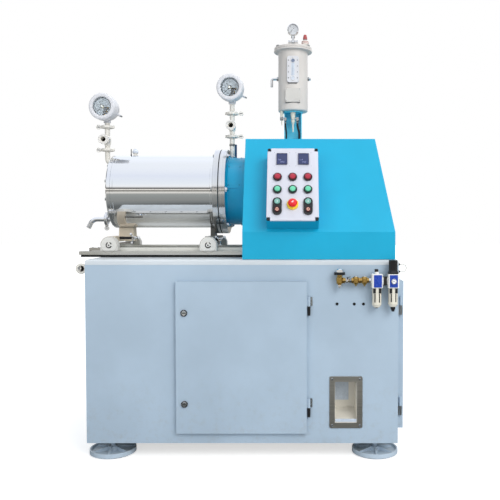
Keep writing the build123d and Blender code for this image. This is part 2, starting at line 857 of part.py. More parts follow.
def roller_covers():
    base = rail_top + 1.5
    covers = []
    for x, y, s in cover_places():
        y0, y1 = y - cap_w / 2, y + cap_w / 2
        cap = rod_y(cap_r, y0, y1, x, wheel_z) + block(x - cap_r, x + cap_r, y0, y1, base, wheel_z)
        cap -= block(x - cap_r - 1, x + cap_r + 1, y0 - 1, y1 + 1, base - cap_r, base)
        room = wheel_w / 2 + 3
        cap -= rod_y(wheel_r + 4, y - room, y + room, x, wheel_z)
        cap -= block(x - wheel_r - 4, x + wheel_r + 4, y - room, y + room, base - 1, wheel_z)
        inner, outer = sorted((y - s * (cap_w / 2 + 1), y + s * (cap_w / 2 - cap_wall)))
        cap -= rod_y(axle_r + run_gap, inner, outer, x, wheel_z)
        y_out = y + s * cap_w / 2
        ends = sorted((y_out, y_out + s * 5))
        if x == wheel_xs[0]:
            cap += block(x - cap_r - wiper_len, x - cap_r + 1, y - wiper_w / 2, y + wiper_w / 2, base,
                         base + wiper_h)
        covers += [cap, rod_y(9, ends[0], ends[1], x, wheel_z)]
    return covers


def roller_axle(x):
    y0 = rail_front_y - cap_w / 2 + cap_wall + 1
    y1 = rail_rear_y + cap_w / 2 - cap_wall - 1
    axle = rod_y(axle_r, y0, y1, x, wheel_z)
    for y in (rail_front_y, rail_rear_y):
        axle += rod_y(wheel_r, y - wheel_w / 2, y + wheel_w / 2, x, wheel_z)
    return axle


lever_x = -543.0
lever_y = 276.0
lever_z = 979.0
lever_pin_r = 5.0
lever_hub_r = 9.0
lever_hub_w = 26.0
lever_arm = 24.0
lever_ball = 6.5
lever_bar_y = 298.0
lever_bar_w = 12.0


def carriage_frame():
    # Two cross beams under the roller covers, with the legs that hold the chamber
    y0 = rail_front_y + cap_w / 2
    y1 = rail_rear_y - cap_w / 2
    z1 = beam_z0 + beam_h
    leg_top = axis_z - jacket_r / 2
    front = [(leg_x0, beam_z0), (leg_x1, beam_z0), (leg_x1 - leg_in, leg_top), (leg_x0 + leg_in, leg_top)]
    rear = [(rear_leg_x0, beam_z0), (rear_leg_x1, beam_z0), (rear_leg_x1, leg_top), (rear_leg_x0, leg_top)]
    body = []
    for x, outline in zip(wheel_xs, (front, rear)):
        piece = block(x - beam_w / 2, x + beam_w / 2, y0, y1, beam_z0, z1)
        piece += plate_xz(outline, axis_y - leg_half, axis_y + leg_half)
        piece -= rod_x(jacket_r + face_gap, cover_x0, gasket_x, axis_y, axis_z)
        piece -= rod_x(flange_r + face_gap, flange_x0 - face_gap, gasket_x, axis_y, axis_z)
        body.append(piece)
    bar = block(wheel_xs[0] + beam_w / 2 - 1, lever_x + lever_bar_w, lever_bar_y, lever_bar_y + lever_bar_w,
                lever_z - lever_bar_w / 2, lever_z + lever_bar_w / 2)
    bar += rod_y(lever_pin_r, lever_y - lever_hub_w / 2, lever_bar_y + 1, lever_x, lever_z)
    body[0] += bar
    return body


def clamp_lever():
    # A three-armed knob on its pin
    knob = rod_y(lever_hub_r, lever_y - lever_hub_w / 2 - 3, lever_y + lever_hub_w / 2 - 5, lever_x, lever_z)
    for turn in (84, -36, -156):
        place = Pos(lever_x, lever_y - lever_hub_w / 4, lever_z) * Rot(0, turn, 0)
        knob += place * rod_z(4, 0, lever_arm, 0, 0) + place * Pos(0, 0, lever_arm) * Sphere(lever_ball)
    return knob - rod_y(lever_pin_r + run_gap, lever_y - lever_hub_w / 2 - 1, lever_y + lever_hub_w,
                        lever_x, lever_z)


# Clamp fittings, stems and gauges

def tri_clamp(place, wing):
    # Two ferrules, the ring that holds them, and its wing nut; the pipe runs along local Z
    ferrules = rod_z(ferrule_r, -ferrule_t, ferrule_t, 0, 0) - rod_z(pipe_r + 0.01, -9, 9, 0, 0)
    ring = rod_z(clamp_r, -clamp_w / 2, clamp_w / 2, 0, 0) - rod_z(ferrule_r + 0.01, -20, 20, 0, 0)
    lug = block(clamp_r - 3, clamp_r + 16, -9, 9, -clamp_w / 2, clamp_w / 2)
    bolt = rod_x(3, clamp_r + 15, clamp_r + 30, 0, 0)
    nut = rod_x(7, clamp_r + 17, clamp_r + 25, 0, 0) + Pos(clamp_r + 24, 0, 0) * Box(5, 4, 34)
    turn = Rot(0, 0, wing)
    return [place * ferrules, place * turn * (ring + lug), place * turn * (bolt + nut)]


def stem(x, z_low, z_tee, z_high, wing):
    r = ferrule_bore + pipe_wall
    bore = pipe_r - pipe_wall
    pipe_low = rod_z(pipe_r, z_low, z_high, x, axis_y)
    body = rod_z(tee_r, z_tee - 26, z_tee + 26, x, axis_y) + rod_y(r, axis_y - tee_reach, axis_y, x, z_tee)
    body += rod_y(ferrule_r, axis_y - tee_reach, axis_y - tee_reach + ferrule_t, x, z_tee)
    body += pipe_low
    body -= rod_z(bore, z_low - 1, z_high + 1, x, axis_y)
    body -= rod_y(ferrule_bore, axis_y - tee_reach - 1, axis_y, x, z_tee)
    clamps = tri_clamp(Pos(x, axis_y, z_low), wing) + tri_clamp(Pos(x, axis_y, z_high), wing)
    return [body] + clamps


def inlet_stem():
    bend = pipe([(cover_x0 - 0.2, axis_y, left_stem_z), (left_stem_x, axis_y, left_stem_z),
                 (left_stem_x, axis_y, left_clamp_z)], 24, pipe_r, pipe_r - pipe_wall)
    return [bend] + stem(left_stem_x, left_clamp_z, left_tee_z, left_top_clamp_z, 180)


def outlet_stem():
    base_z = axis_z + (neck_r ** 2 - 30 ** 2) ** 0.5
    foot = rod_z(pipe_r + 3, axis_z + neck_r + 1, axis_z + neck_r + 14, right_stem_x, axis_y)
    foot += rod_z(pipe_r, axis_z + neck_r + face_gap, right_clamp_z, right_stem_x, axis_y)
    foot -= rod_z(pipe_r - pipe_wall, base_z, right_clamp_z + 1, right_stem_x, axis_y)
    brace_y = axis_y + pipe_r + brace_t
    brace_z = axis_z + neck_r
    brace = block(brace_x - brace_w / 2, brace_x + brace_w / 2, brace_y, brace_y + brace_t,
                  brace_z - 12, brace_z + brace_h)
    brace += block(right_stem_x - pipe_r, brace_x, brace_y, brace_y + brace_t,
                   brace_z + brace_h - brace_w, brace_z + brace_h)
    brace -= rod_x(neck_r + face_gap, brace_x - 20, brace_x + 20, axis_y, axis_z)
    brace += rod_y(brace_t / 2, axis_y + pipe_r - 1, brace_y, right_stem_x, brace_z + brace_h - brace_w / 2)
    brace -= rod_z(pipe_r + 0.01, brace_z, brace_z + brace_h + 1, right_stem_x, axis_y)
    return [foot, brace] + stem(right_stem_x, right_clamp_z, right_tee_z, right_top_clamp_z, 0)


def gauge_place(x, z):
    return Pos(x, axis_y, z) * Rot(0, 0, gauge_turn) * Rot(90, 0, 0) * Pos(0, 0, gauge_lead)


def gauge_case(x, z, z_clamp):
    half = gauge_depth / 2
    shell = lathe([(0, -half), (gauge_back_r, -half), (gauge_r - 6, -12), (gauge_r, 4), (gauge_r, half - 6),
                   (gauge_r - 5, half), (gauge_glass_r, half), (gauge_glass_r, half - 15), (0, half - 15)])
    pin = rod_z(1.5, half - 16, half - 7, 0, 0)
    glass = rod_z(gauge_glass_r - 0.05, half - 5, half - 3, 0, 0)
    place = gauge_place(x, z)
    neck = rod_z(pipe_r, z_clamp + face_gap, z - gauge_back_r + 6, x, axis_y)
    gland = place * Rot(0, 0, -28) * rod_x(gland_r, gauge_back_r - 8, gauge_r + 16, 0, 15 - half)
    return [place * (shell + pin) + neck + gland, place * glass]


def gauge_needle(x, z):
    half = gauge_depth / 2
    z0 = half - 12
    hub = rod_z(5, z0 - 1, z0 + 3, 0, 0)
    outline = Polyline((-2.5, -9), (2.5, -9), (0.7, needle_len), (-0.7, needle_len), close=True)
    blade = Rot(0, 0, 135) * extrude(Pos(0, 0, z0) * make_face(outline), amount=needle_t)
    return gauge_place(x, z) * (hub + blade - rod_z(1.5 + pin_gap, z0 - 3, z0 + 5, 0, 0))


def product_spout():
    x0 = cover_x0 - 0.2
    x1 = cover_x0 - spout_reach
    tube = pipe([(x0, axis_y, spout_z), (x1, axis_y, spout_z),
                 (x1 - spout_fall, axis_y, spout_z - spout_drop)], spout_bend_r, spout_r,
                 spout_r - pipe_wall)
    joint = tri_clamp(Pos(cover_x0 - 46, axis_y, spout_z) * Rot(0, 90, 0), 0)
    return [tube] + joint


# Control box: local X across, local Y up the slope, local Z out of the hood

slope = radians(hood_slope)
box_y = hood_y0 + (box_mid_z - hood_bend_z) * tan(slope)
panel = Plane(origin=(box_x, box_y, box_mid_z), x_dir=(1, 0, 0), z_dir=(0, -cos(slope), sin(slope))).location
lid_z0 = face_gap + box_depth
lid_z1 = lid_z0 + lid_t


def slab(w, h, t, u=0.0, v=0.0, z0=0.0, corner=0.0):
    body = Pos(u, v, z0 + t / 2) * Box(w, h, t)
    return fillet(body.edges().filter_by(Axis.Z), corner) if corner else body


def control_box():
    body = slab(box_w, box_h, box_depth, z0=face_gap) - slab(box_w - 40, box_h - 40, box_depth,
                                                             z0=face_gap + 3)
    for u in (-1, 1):
        for v in (-1, 1):
            place = Pos(u * (box_w - lid_notch) / 2, v * (box_h - lid_notch) / 2, lid_z0 + 2.5)
            body += place * Cylinder(5, 5)
    return panel * body


def control_lid():
    lid = slab(box_w, box_h, lid_t, z0=lid_z0)
    for u in (-1, 1):
        for v in (-1, 1):
            lid -= slab(2 * lid_notch, 2 * lid_notch, lid_t + 2, u * box_w / 2, v * box_h / 2, lid_z0 - 1)
    return panel * chamfer(lid.edges().group_by(Axis.Z)[-1], 1.5)


def panel_displays():
    shown = []
    for u in display_xs:
        case = slab(display_w, display_h, display_t, u, display_v, lid_z1, 2)
        case -= slab(display_w - 9, display_h - 16, 3, u, display_v, lid_z1 + display_t - 2)
        shown.append(panel * case)
    return shown


def indicator_lamps():
    bezel = lathe([(lamp_dome_r + 0.1, 0), (lamp_r, 0), (lamp_r, 3), (lamp_r - 2, 5),
                   (lamp_dome_r + 0.1, 5)])
    dome = lathe([(0, 0), (lamp_dome_r, 0), (lamp_dome_r, 6), (lamp_dome_r * 0.85, lamp_h - 2), (0, lamp_h)])
    return [panel * Pos(u, v, lid_z1) * piece for u in lamp_xs for v in lamp_vs for piece in (bezel, dome)]


def button_stations():
    shown = []
    for u in station_xs:
        plate = slab(station_w, station_h, station_t, u, station_v, lid_z1, station_w / 2 - 0.1)
        for v in (start_v, stop_v):
            plate -= Pos(u, station_v + v, lid_z1 + station_t) * Cylinder(button_r + face_gap,
                                                                          2 * station_t - 2)
        shown.append(panel * plate)
    collar = lathe([(12.3, 0), (estop_collar_r, 0), (estop_collar_r, 9), (estop_collar_r - 3, 12),
                    (12.3, 12)])
    shown.append(panel * Pos(0, estop_v, lid_z1) * collar)
    return shown


def push_button(u, v):
    low = 1 + button_travel + 0.5
    body = Pos(u, station_v + v, lid_z1 + (low + station_t + button_proud) / 2)
    cap = Cylinder(button_r, station_t + button_proud - low)
    return panel * body * chamfer(cap.edges().filter_by(GeomType.CIRCLE).sort_by(Axis.Z)[-1], 1.2)


def estop_button():
    r = estop_head_r
    under = 12 + estop_travel + 1
    head = lathe([(0, estop_travel + 1), (12, estop_travel + 1), (12, under), (r, under), (r, under + 5),
                  (r * 0.85, under + 10), (r * 0.5, under + 13), (0, under + 14)])
    return panel * Pos(0, estop_v, lid_z1) * head


# Seal-fluid pot, its column and pipework

hose_rs = (4.0, 5.0)
hose_xs = (pot_x - 36.5, pot_x + 21.5)
hose_shifts = (4.0, 9.0)
hose_y = pot_y - 30.0
hose_drop = 44.0
hose_run = 26.0
stub_xs = (pot_x - 54.5, pot_x)
stub_rs = (5.0, 7.5)
stub_lens = (62.0, 95.0)
branch_drop = 30.0


def hose_entries():
    return [(x + shift, hose_y) for x, shift in zip(hose_xs, hose_shifts)]


def pot_column():
    y0, y1 = pot_y - col_d / 2, pot_y + col_d / 2
    z1 = pot_z0 - pot_plate_t
    post = block(pot_x - col_w / 2, pot_x + col_w / 2, y0, y1, hood_top_z, z1)
    post -= block(pot_x - col_w / 2 + col_t, pot_x + col_w / 2 - col_t, y0 - 1, y1 - col_t,
                  hood_top_z - 1, z1 + 1)
    post += rod_z(pot_plate_r, z1, pot_z0, pot_x, pot_y)
    foot = block(pot_x - col_w / 2 - 12, pot_x + col_w / 2 + 12, y1 - col_t, y1 + 20, hood_top_z,
                 hood_top_z + 5)
    return post + foot


def pot_body():
    inner = pot_r - pot_t
    wall = lathe([(0, pot_z0), (pot_r - 5, pot_z0), (pot_r, pot_z0 + 5), (pot_r, pot_z1),
                  (pot_lid_r, pot_z1),
                  (pot_lid_r, pot_z1 + 8), (inner, pot_z1 + 8), (inner, pot_z0 + pot_t),
                  (0, pot_z0 + pot_t)])
    return Pos(pot_x, pot_y, 0) * wall


def pot_lid():
    z0 = pot_z1 + 8
    z1 = pot_z1 + pot_lid_t
    lid = lathe([(0, z0), (pot_lid_r, z0), (pot_lid_r, z1 - 3), (pot_lid_r - 3, z1), (0, z1)])
    bolts = []
    for n in range(6):
        a = 2 * pi * (n + 0.5) / 6
        place = Pos((pot_lid_r - 10) * cos(a), (pot_lid_r - 10) * sin(a), z1)
        bolts.append(Pos(pot_x, pot_y, 0) * place * extrude(RegularPolygon(8, 6), amount=6))
    return [Pos(pot_x, pot_y, 0) * lid] + bolts


pot_gauge_x = pot_x
pot_top = pot_z1 + pot_lid_t


def pot_fittings():
    x, y, r = pot_gauge_x, pot_y, pot_gauge_r
    rise = rod_z(6, pot_top, pot_gauge_z - r + 3, x, y) + rod_z(11, pot_top, pot_top + 12, x, y)
    case = Pos(x, y, pot_gauge_z) * Rot(90, 0, 0) * lathe([(0, -14), (r - 4, -14), (r, -10), (r, 14),
                                                           (r - 3, 16),
                                                           (r - 4, 16), (r - 4, 8), (0, 8)])
    pin = rod_y(1.2, y - 13, y - 7, x, pot_gauge_z)
    glass = rod_y(r - 4.1, y - 15, y - 14, x, pot_gauge_z)
    valve_x = pot_x + 59
    valve = rod_z(12, pot_top, pot_top + 16, valve_x, y) + rod_z(17, pot_top + 16, pot_top + 36, valve_x, y)
    valve += rod_z(9, pot_top + 36, pot_top + 42, valve_x, y)
    cap = lathe([(0, 42), (10.5, 42), (10.5, 50), (6.5, 66), (0, 66)])
    front = pot_y - pot_r
    sight = block(pot_x - sight_w / 2, pot_x + sight_w / 2, front - 8, front + 14, sight_z0,
                  sight_z0 + sight_h)
    sight = fillet(sight.edges().filter_by(Axis.Y), sight_corner)
    plate = block(pot_x - plate_w / 2, pot_x + plate_w / 2, front - 3, front + 18, plate_z0,
                  plate_z0 + plate_h)
    sight, plate = (flat - rod_z(pot_r + face_gap, pot_z0, pot_z1, pot_x, pot_y) for flat in (sight, plate))
    left = rod_x(7, pot_x - pot_r - 38, pot_x - pot_r + 1, y, side_z) + rod_z(7, side_z - 40, side_z + 6,
                                                                             pot_x - pot_r - 32, y)
    right = rod_x(7, pot_x + pot_r - 1, pot_x + pot_r + 16, y, side_z)
    left -= rod_z(pot_r + face_gap, pot_z0, pot_z1, pot_x, pot_y)
    right -= rod_z(pot_r + face_gap, pot_z0, pot_z1, pot_x, pot_y)
    low = pot_z0 - pot_plate_t
    pipes = []
    for x, r, reach, top, hx, hr in zip(stub_xs, stub_rs, stub_lens, (pot_z0, low), hose_xs, hose_rs):
        branch_z = low - branch_drop
        pipes.append(rod_z(r, low - reach, top, x, hose_y) + rod_x(hr - 1, x, hx, hose_y, branch_z)
                     + rod_z(hr + 2.5, low - hose_drop, branch_z + hr + 2, hx, hose_y))
    return [rise + case + pin, glass, valve, Pos(valve_x, y, pot_top) * cap, sight, plate, left,
            right] + pipes


def pot_needle():
    z0 = 10.0
    outline = Polyline((-1.6, -6), (1.6, -6), (0.5, 18), (-0.5, 18), close=True)
    blade = Rot(0, 0, 135) * extrude(Pos(0, 0, z0) * make_face(outline), amount=0.8)
    hub = rod_z(3, z0 - 1, z0 + 2, 0, 0) + blade - rod_z(1.2 + pin_gap, 0, 20, 0, 0)
    return Pos(pot_gauge_x, pot_y, pot_gauge_z) * Rot(90, 0, 0) * hub


def pot_hoses():
    hoses = []
    top = pot_z0 - pot_plate_t - hose_drop
    for x, r, (x1, y1) in zip(hose_xs, hose_rs, hose_entries()):
        turn = atan2(x1 - x, hose_run)
        bend = 0.45 * hose_run / tan(turn / 2)
        hoses.append(pipe([(x, hose_y, top), (x, hose_y, top - hose_run), (x1, hose_y, top - 2 * hose_run),
                           (x1, y1, hood_top_z - 12)], [bend, bend], r))
    return hoses


# Air preparation unit and pneumatic fittings

def air_unit():
    y0, y1 = air_y - air_d / 2, air_y + air_d / 2
    pieces = []
    for x in air_xs:
        body = slab(air_w, air_d, air_z1 - air_z0, corner=6)
        body = Pos(x, air_y, air_z0) * body
        body += rod_z(bowl_r, bowl_z0 + 8, air_z0 + 1, x, air_y)
        body += Pos(x, air_y, bowl_z0) * lathe([(0, 0), (bowl_r - 8, 0), (bowl_r, 8), (0, 8)])
        body += rod_z(6, drain_z0, bowl_z0 + 1, x, air_y)
        body += block(x - 12, x + 12, y1 - 1, 0, air_z0 + 14, air_z0 + 44)
        pieces.append(body)
    pieces[0] += rod_z(9, air_z1 - 1, air_z1 + 9, air_xs[0], air_y)
    joint = block(air_xs[0] + air_w / 2, air_xs[1] - air_w / 2, air_y - 14, air_y + 14, air_z0 + 16,
                  air_z0 + 46)
    dial = rod_y(12, y0 - 8, y0, air_xs[1], air_z0 + 30)
    spigot = rod_z(8, air_z1 - 1, air_z1 + 12, air_xs[1], air_y)
    pieces[1] += spigot
    return pieces + [joint, dial]


def regulator_knob():
    low = air_z1 + face_gap
    knob = lathe([(0, low), (bowl_r + 3, low), (knob_r, low + 14), (knob_r, knob_z1 - 3),
                  (knob_r - 3, knob_z1),
                  (0, knob_z1)])
    knob -= [Rot(0, 0, 30 * n) * Pos(knob_r + 1, 0, knob_z1 - 20) * Cylinder(2.4, 44) for n in range(12)]
    return Pos(air_xs[1], air_y, 0) * knob - rod_z(8 + run_gap, low - 1, low + 14, air_xs[1], air_y)


bar_z = 800.0
bar_y = -30.0


def air_manifold():
    x = manifold_x
    body = rod_x(9, x, air_xs[0] - air_w / 2, bar_y, bar_z)
    body += rod_z(14, bar_z - 24, bar_z + 24, x, bar_y) + rod_z(6, bar_z + 20, bar_z + 34, x, bar_y)
    body += rod_x(12, x + 16, x + 45, bar_y, bar_z)
    for t in tee_xs:
        body += rod_z(11, bar_z - 16, bar_z + 16, t, bar_y)
        body += Pos(t, bar_y, bar_z - 16) * lathe([(0, -10), (3, -10), (9, 0), (0, 0)])
    for t in (x,) + tee_xs:
        body += rod_y(8, bar_y, 0, t, bar_z)
    return body


def manifold_knob():
    r = manifold_knob_r
    low = bar_z + 24 + face_gap
    knob = lathe([(0, low), (r, low), (r, low + 12), (r - 8, low + 13), (r - 8, low + 24),
                  (r - 12, low + 27),
                  (0, low + 27)])
    knob -= [Rot(0, 0, 45 * n) * Pos(r + 2, 0, low + 6) * Cylinder(4, 20) for n in range(8)]
    return Pos(manifold_x, bar_y, 0) * knob - rod_z(6 + run_gap, low - 1, bar_z + 35, manifold_x, bar_y)


def hose_port():
    r = ferrule_bore + pipe_wall
    wall_x = -cab_w / 2
    turn_y = port_y + port_run
    elbow = pipe([(wall_x - 0.2, turn_y, port_z), (port_x, turn_y, port_z), (port_x, port_y, port_z)],
                 port_bend, r, ferrule_bore)
    ferrule = rod_y(ferrule_r, port_y, port_y + ferrule_t, port_x, port_z)
    ferrule -= rod_y(ferrule_bore, port_y - 1, port_y + 20, port_x, port_z)
    near, far = cab_w / 2 + 0.2, cab_w / 2 + loop_reach
    top = loop_z + loop_h
    loop = pipe([(near, loop_y, top), (far, loop_y, top), (far, loop_y, loop_z), (near, loop_y, loop_z)],
                loop_bend, tube_r)
    return [elbow + ferrule, loop]


os.makedirs("parts", exist_ok=True)
save("cabinet_top_plate", cabinet_top_plate())
save("cabinet_front_panel", cabinet_front_panel())
save("cabinet_side_panels", *cabinet_side_panels())
save("cabinet_frame", *cabinet_frame())
save("levelling_feet", *levelling_feet())
save("foot_pads", *foot_pads())
save("hinge_halves", *hinge_halves())
save("front_door", front_door())
save("lock_lower", door_lock(*lock_places()[0]))
save("lock_upper", door_lock(*lock_places()[1]))
save("side_door", side_door())
save("window_frame", *window_frame())
save("hood_shell", hood_shell())
save("bearing_housing", bearing_housing())
save("inspection_cover", inspection_cover())
save("housing_flange", housing_flange())
save("flange_bolts", *flange_bolts())
save("spindle_bearings", *spindle_bearings())
save("pin_rotor", *pin_rotor())
save("motor_pulley", *motor_pulley())
save("drive_belts", *drive_belts())
save("drive_motor", drive_motor())
save("chamber_jacket", *chamber_jacket())
save("grinding_cylinder", *grinding_cylinder())
save("end_cover", *end_cover())
save("guide_rails", *guide_rails())
save("drip_tray", drip_tray())
save("roller_covers", *roller_covers())
save("left_roller_axle", roller_axle(wheel_xs[0]))
save("right_roller_axle", roller_axle(wheel_xs[1]))
save("carriage_frame", *carriage_frame())
save("clamp_lever", clamp_lever())
save("inlet_stem", *inlet_stem())
save("outlet_stem", *outlet_stem())
save("left_gauge_case", *gauge_case(left_stem_x, left_gauge_z, left_top_clamp_z))
save("right_gauge_case", *gauge_case(right_stem_x, right_gauge_z, right_top_clamp_z))
save("left_gauge_needle", gauge_needle(left_stem_x, left_gauge_z))
save("right_gauge_needle", gauge_needle(right_stem_x, right_gauge_z))
save("product_spout", *product_spout())
save("control_box", control_box())
save("control_lid", control_lid())
save("panel_displays", *panel_displays())
save("indicator_lamps", *indicator_lamps())
save("button_stations", *button_stations())
for side, u in zip(("left", "right"), station_xs):
    save("start_button_" + side, push_button(u, start_v))
    save("stop_button_" + side, push_button(u, stop_v))
save("estop_button", estop_button())
save("pot_column", pot_column())
save("pot_body", pot_body())
save("pot_lid", *pot_lid())
save("pot_fittings", *pot_fittings())
save("pot_needle", pot_needle())
save("pot_hoses", *pot_hoses())
save("air_unit", *air_unit())
save("regulator_knob", regulator_knob())
save("air_manifold", air_manifold())
save("manifold_knob", manifold_knob())
save("hose_port", *hose_port())
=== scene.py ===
import json
from math import cos, pi, radians, sin

import bmesh
import bpy
import numpy as np
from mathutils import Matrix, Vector

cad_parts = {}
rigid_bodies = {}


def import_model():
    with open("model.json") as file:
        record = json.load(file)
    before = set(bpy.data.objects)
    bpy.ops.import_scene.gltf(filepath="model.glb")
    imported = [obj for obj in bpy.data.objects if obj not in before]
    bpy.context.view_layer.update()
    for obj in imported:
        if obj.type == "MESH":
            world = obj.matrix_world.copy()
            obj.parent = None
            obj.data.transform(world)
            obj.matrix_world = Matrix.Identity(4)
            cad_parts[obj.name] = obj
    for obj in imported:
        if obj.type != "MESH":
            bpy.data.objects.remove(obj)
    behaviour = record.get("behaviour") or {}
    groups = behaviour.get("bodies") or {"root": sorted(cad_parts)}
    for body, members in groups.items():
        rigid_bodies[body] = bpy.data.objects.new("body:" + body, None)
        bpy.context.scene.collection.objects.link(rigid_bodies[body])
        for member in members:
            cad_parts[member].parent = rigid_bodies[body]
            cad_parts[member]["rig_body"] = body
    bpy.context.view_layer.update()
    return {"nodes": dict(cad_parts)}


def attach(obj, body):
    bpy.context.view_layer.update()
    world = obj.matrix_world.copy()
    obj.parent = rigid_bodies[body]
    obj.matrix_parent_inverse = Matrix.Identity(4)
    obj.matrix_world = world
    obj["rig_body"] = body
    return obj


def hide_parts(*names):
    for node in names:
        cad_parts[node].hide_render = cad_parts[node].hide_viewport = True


# Horizontal bead mill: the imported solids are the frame, dressed with finer surfaces and real finishes.
# Shapes are worked out in millimetres: X from the cabinet's middle, Y back from its front panel,
# Z up from the floor. toRow brings them to the frame's metres.
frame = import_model()
scene = bpy.context.scene
partOrigin = np.array((-44.9, 401.2, 0.0))


def toRow(points):
    # Row metres = (working millimetres - the part's origin) / 1000
    return (np.asarray(points, float) - partOrigin) / 1000.0


# Shapes: each is (points, quads, triangles, caps, finish)

def welded(points, quads, caps, finish):
    # Points that fall together become one; a quad that lost a corner is a triangle.
    # The signed volume, a third of the sum of point . (edge x edge), tells if the skin faces out.
    points = np.asarray(points, float)
    kept, back = np.unique(np.round(points, 4), axis=0, return_inverse=True)
    back = back.reshape(-1)
    quads = back[np.asarray(quads, int).reshape(-1, 4)]
    same = quads == np.roll(quads, -1, axis=1)
    lost = same.sum(1)
    thin = quads[lost == 1]
    tris = thin[~same[lost == 1]].reshape(-1, 3)
    quads = quads[lost == 0]
    quads = quads[(quads[:, 0] != quads[:, 2]) & (quads[:, 1] != quads[:, 3])]
    tidyCaps = []
    for cap in caps:
        ring = back[cap]
        ring = ring[ring != np.roll(ring, 1)]
        if len(ring) > 2:
            tidyCaps.append(ring)
    a, b, c, d = (kept[quads[:, i]] for i in range(4))
    volume = (a * np.cross(b, c)).sum() + (a * np.cross(c, d)).sum()
    if len(tris):
        volume += (kept[tris[:, 0]] * np.cross(kept[tris[:, 1]], kept[tris[:, 2]])).sum()
    for ring in tidyCaps:
        p = kept[ring]
        volume += (p[0] * np.cross(p[1:-1], p[2:])).sum()
    if volume < 0:
        quads, tris = quads[:, ::-1], tris[:, ::-1]
        tidyCaps = [ring[::-1] for ring in tidyCaps]
    return [(kept, quads, tris, tidyCaps, finish)]


def gridQuads(rows, cols, wrapRows=False, wrapCols=False):
    # Quads between neighbouring rows and columns of a rows x cols grid of points
    r, c = np.meshgrid(np.arange(rows if wrapRows else rows - 1),
                       np.arange(cols if wrapCols else cols - 1), indexing="ij")
    r1, c1 = (r + 1) % rows, (c + 1) % cols
    return np.stack([r * cols + c, r * cols + c1, r1 * cols + c1, r1 * cols + c], -1).reshape(-1, 4)


def rounded(corners, radius, steps=4):
    # Each corner of a closed outline becomes an arc between its tangent points:
    # tangent length = radius / tan(half angle), the arc slides from one tangent point to the other.
    p = np.asarray(corners, float)
    r = np.broadcast_to(np.asarray(radius, float), len(p))
    a, b = np.roll(p, 1, 0) - p, np.roll(p, -1, 0) - p
    la, lb = np.linalg.norm(a, axis=1), np.linalg.norm(b, axis=1)
    a, b = a / la[:, None], b / lb[:, None]
    half = np.arccos(np.clip((a * b).sum(1), -1, 1)) / 2
    flat = half > pi / 2 - 1e-4
    half = np.where(flat, pi / 4, half)
    reach = np.where(flat, 0.0, np.minimum(r / np.tan(half), 0.499 * np.minimum(la, lb)))
    middle = a + b
    size = np.maximum(np.linalg.norm(middle, axis=1), 1e-9)
    centre = p + middle / size[:, None] * (reach / np.cos(half))[:, None]
    centre = np.where(flat[:, None], p, centre)
    s, e = p + a * reach[:, None] - centre, p + b * reach[:, None] - centre
    turn = (pi - 2 * half)[:, None, None]
    t = np.linspace(0, 1, steps + 1)[None, :, None]
    arc = (np.sin((1 - t) * turn) * s[:, None] + np.sin(t * turn) * e[:, None]) / np.sin(turn)
    return (centre[:, None] + arc).reshape(-1, p.shape[1])


def roundedLine(corners, radius, steps=4):
    # As rounded, for an open line: its two ends stay where they are
    p = np.asarray(corners, float)
    r = np.array(np.broadcast_to(np.asarray(radius, float), len(p)))
    r[0] = r[-1] = 0.0
    return rounded(p, r, steps)[steps:-steps]


def turned(profile, finish, sides=48, ring=False, start=0.0, sweepBy=2 * pi):
    # Points (radius, height) turned about Z: x = r cos a, y = r sin a, z = height.
    # An open profile starts and ends on the axis; ring=True closes it on itself.
    profile = np.asarray(profile, float)
    a = start + np.arange(sides) * sweepBy / sides
    r, h = profile[:, :1], profile[:, 1:]
    points = np.stack([r * np.cos(a), r * np.sin(a), h + 0 * a], -1).reshape(-1, 3)
    return welded(points, gridQuads(len(profile), sides, ring, True), [], finish)


def lathed(corners, radius, finish, sides=48, steps=4, ring=False):
    # The outline's corners are rounded, then it is turned
    return turned(rounded(corners, radius, steps), finish, sides, ring)


def inset(outline, by):
    # The outline moved inwards by a distance along the mean of its sides' normals
    ahead, behind = np.roll(outline, -1, 0) - outline, outline - np.roll(outline, 1, 0)
    ahead = ahead / np.maximum(np.linalg.norm(ahead, axis=1), 1e-9)[:, None]
    behind = behind / np.maximum(np.linalg.norm(behind, axis=1), 1e-9)[:, None]
    mean = ahead + behind
    mean = mean / np.maximum(np.linalg.norm(mean, axis=1), 1e-9)[:, None]
    stretch = 1 / np.maximum((mean * ahead).sum(1), 0.35)
    area = (outline[:, 0] * np.roll(outline[:, 1], -1) - np.roll(outline[:, 0], -1) * outline[:, 1]).sum()
    side = np.stack([-mean[:, 1], mean[:, 0]], 1) * (1 if area > 0 else -1)
    return outline + side * (by * stretch)[:, None]


def distinct(outline):
    # Drops points that repeat their neighbour
    return outline[np.linalg.norm(outline - np.roll(outline, 1, 0), axis=1) > 1e-4]


def slab(outline, low, high, finish, edge=1.0, steps=3, topEdge=None, lowEdge=None):
    # An outline carried from low to high; its rims are quarter circles, inset = edge (1 - cos a)
    outline = distinct(np.asarray(outline, float))
    eTop, eLow = (edge if e is None else e for e in (topEdge, lowEdge))
    a = np.linspace(0, pi / 2, steps + 1)
    ins = np.concatenate([eLow * (1 - np.sin(a)), eTop * (1 - np.cos(a))])
    ups = np.concatenate([low + eLow * (1 - np.cos(a)), high - eTop * (1 - np.sin(a))])
    rings = [np.column_stack([inset(outline, i), np.full(len(outline), u)]) for i, u in zip(ins, ups)]
    points, n = np.concatenate(rings), len(outline)
    caps = [np.arange(n)[::-1], np.arange(n) + (len(rings) - 1) * n]
    return welded(points, gridQuads(len(rings), n, False, True), caps, finish)


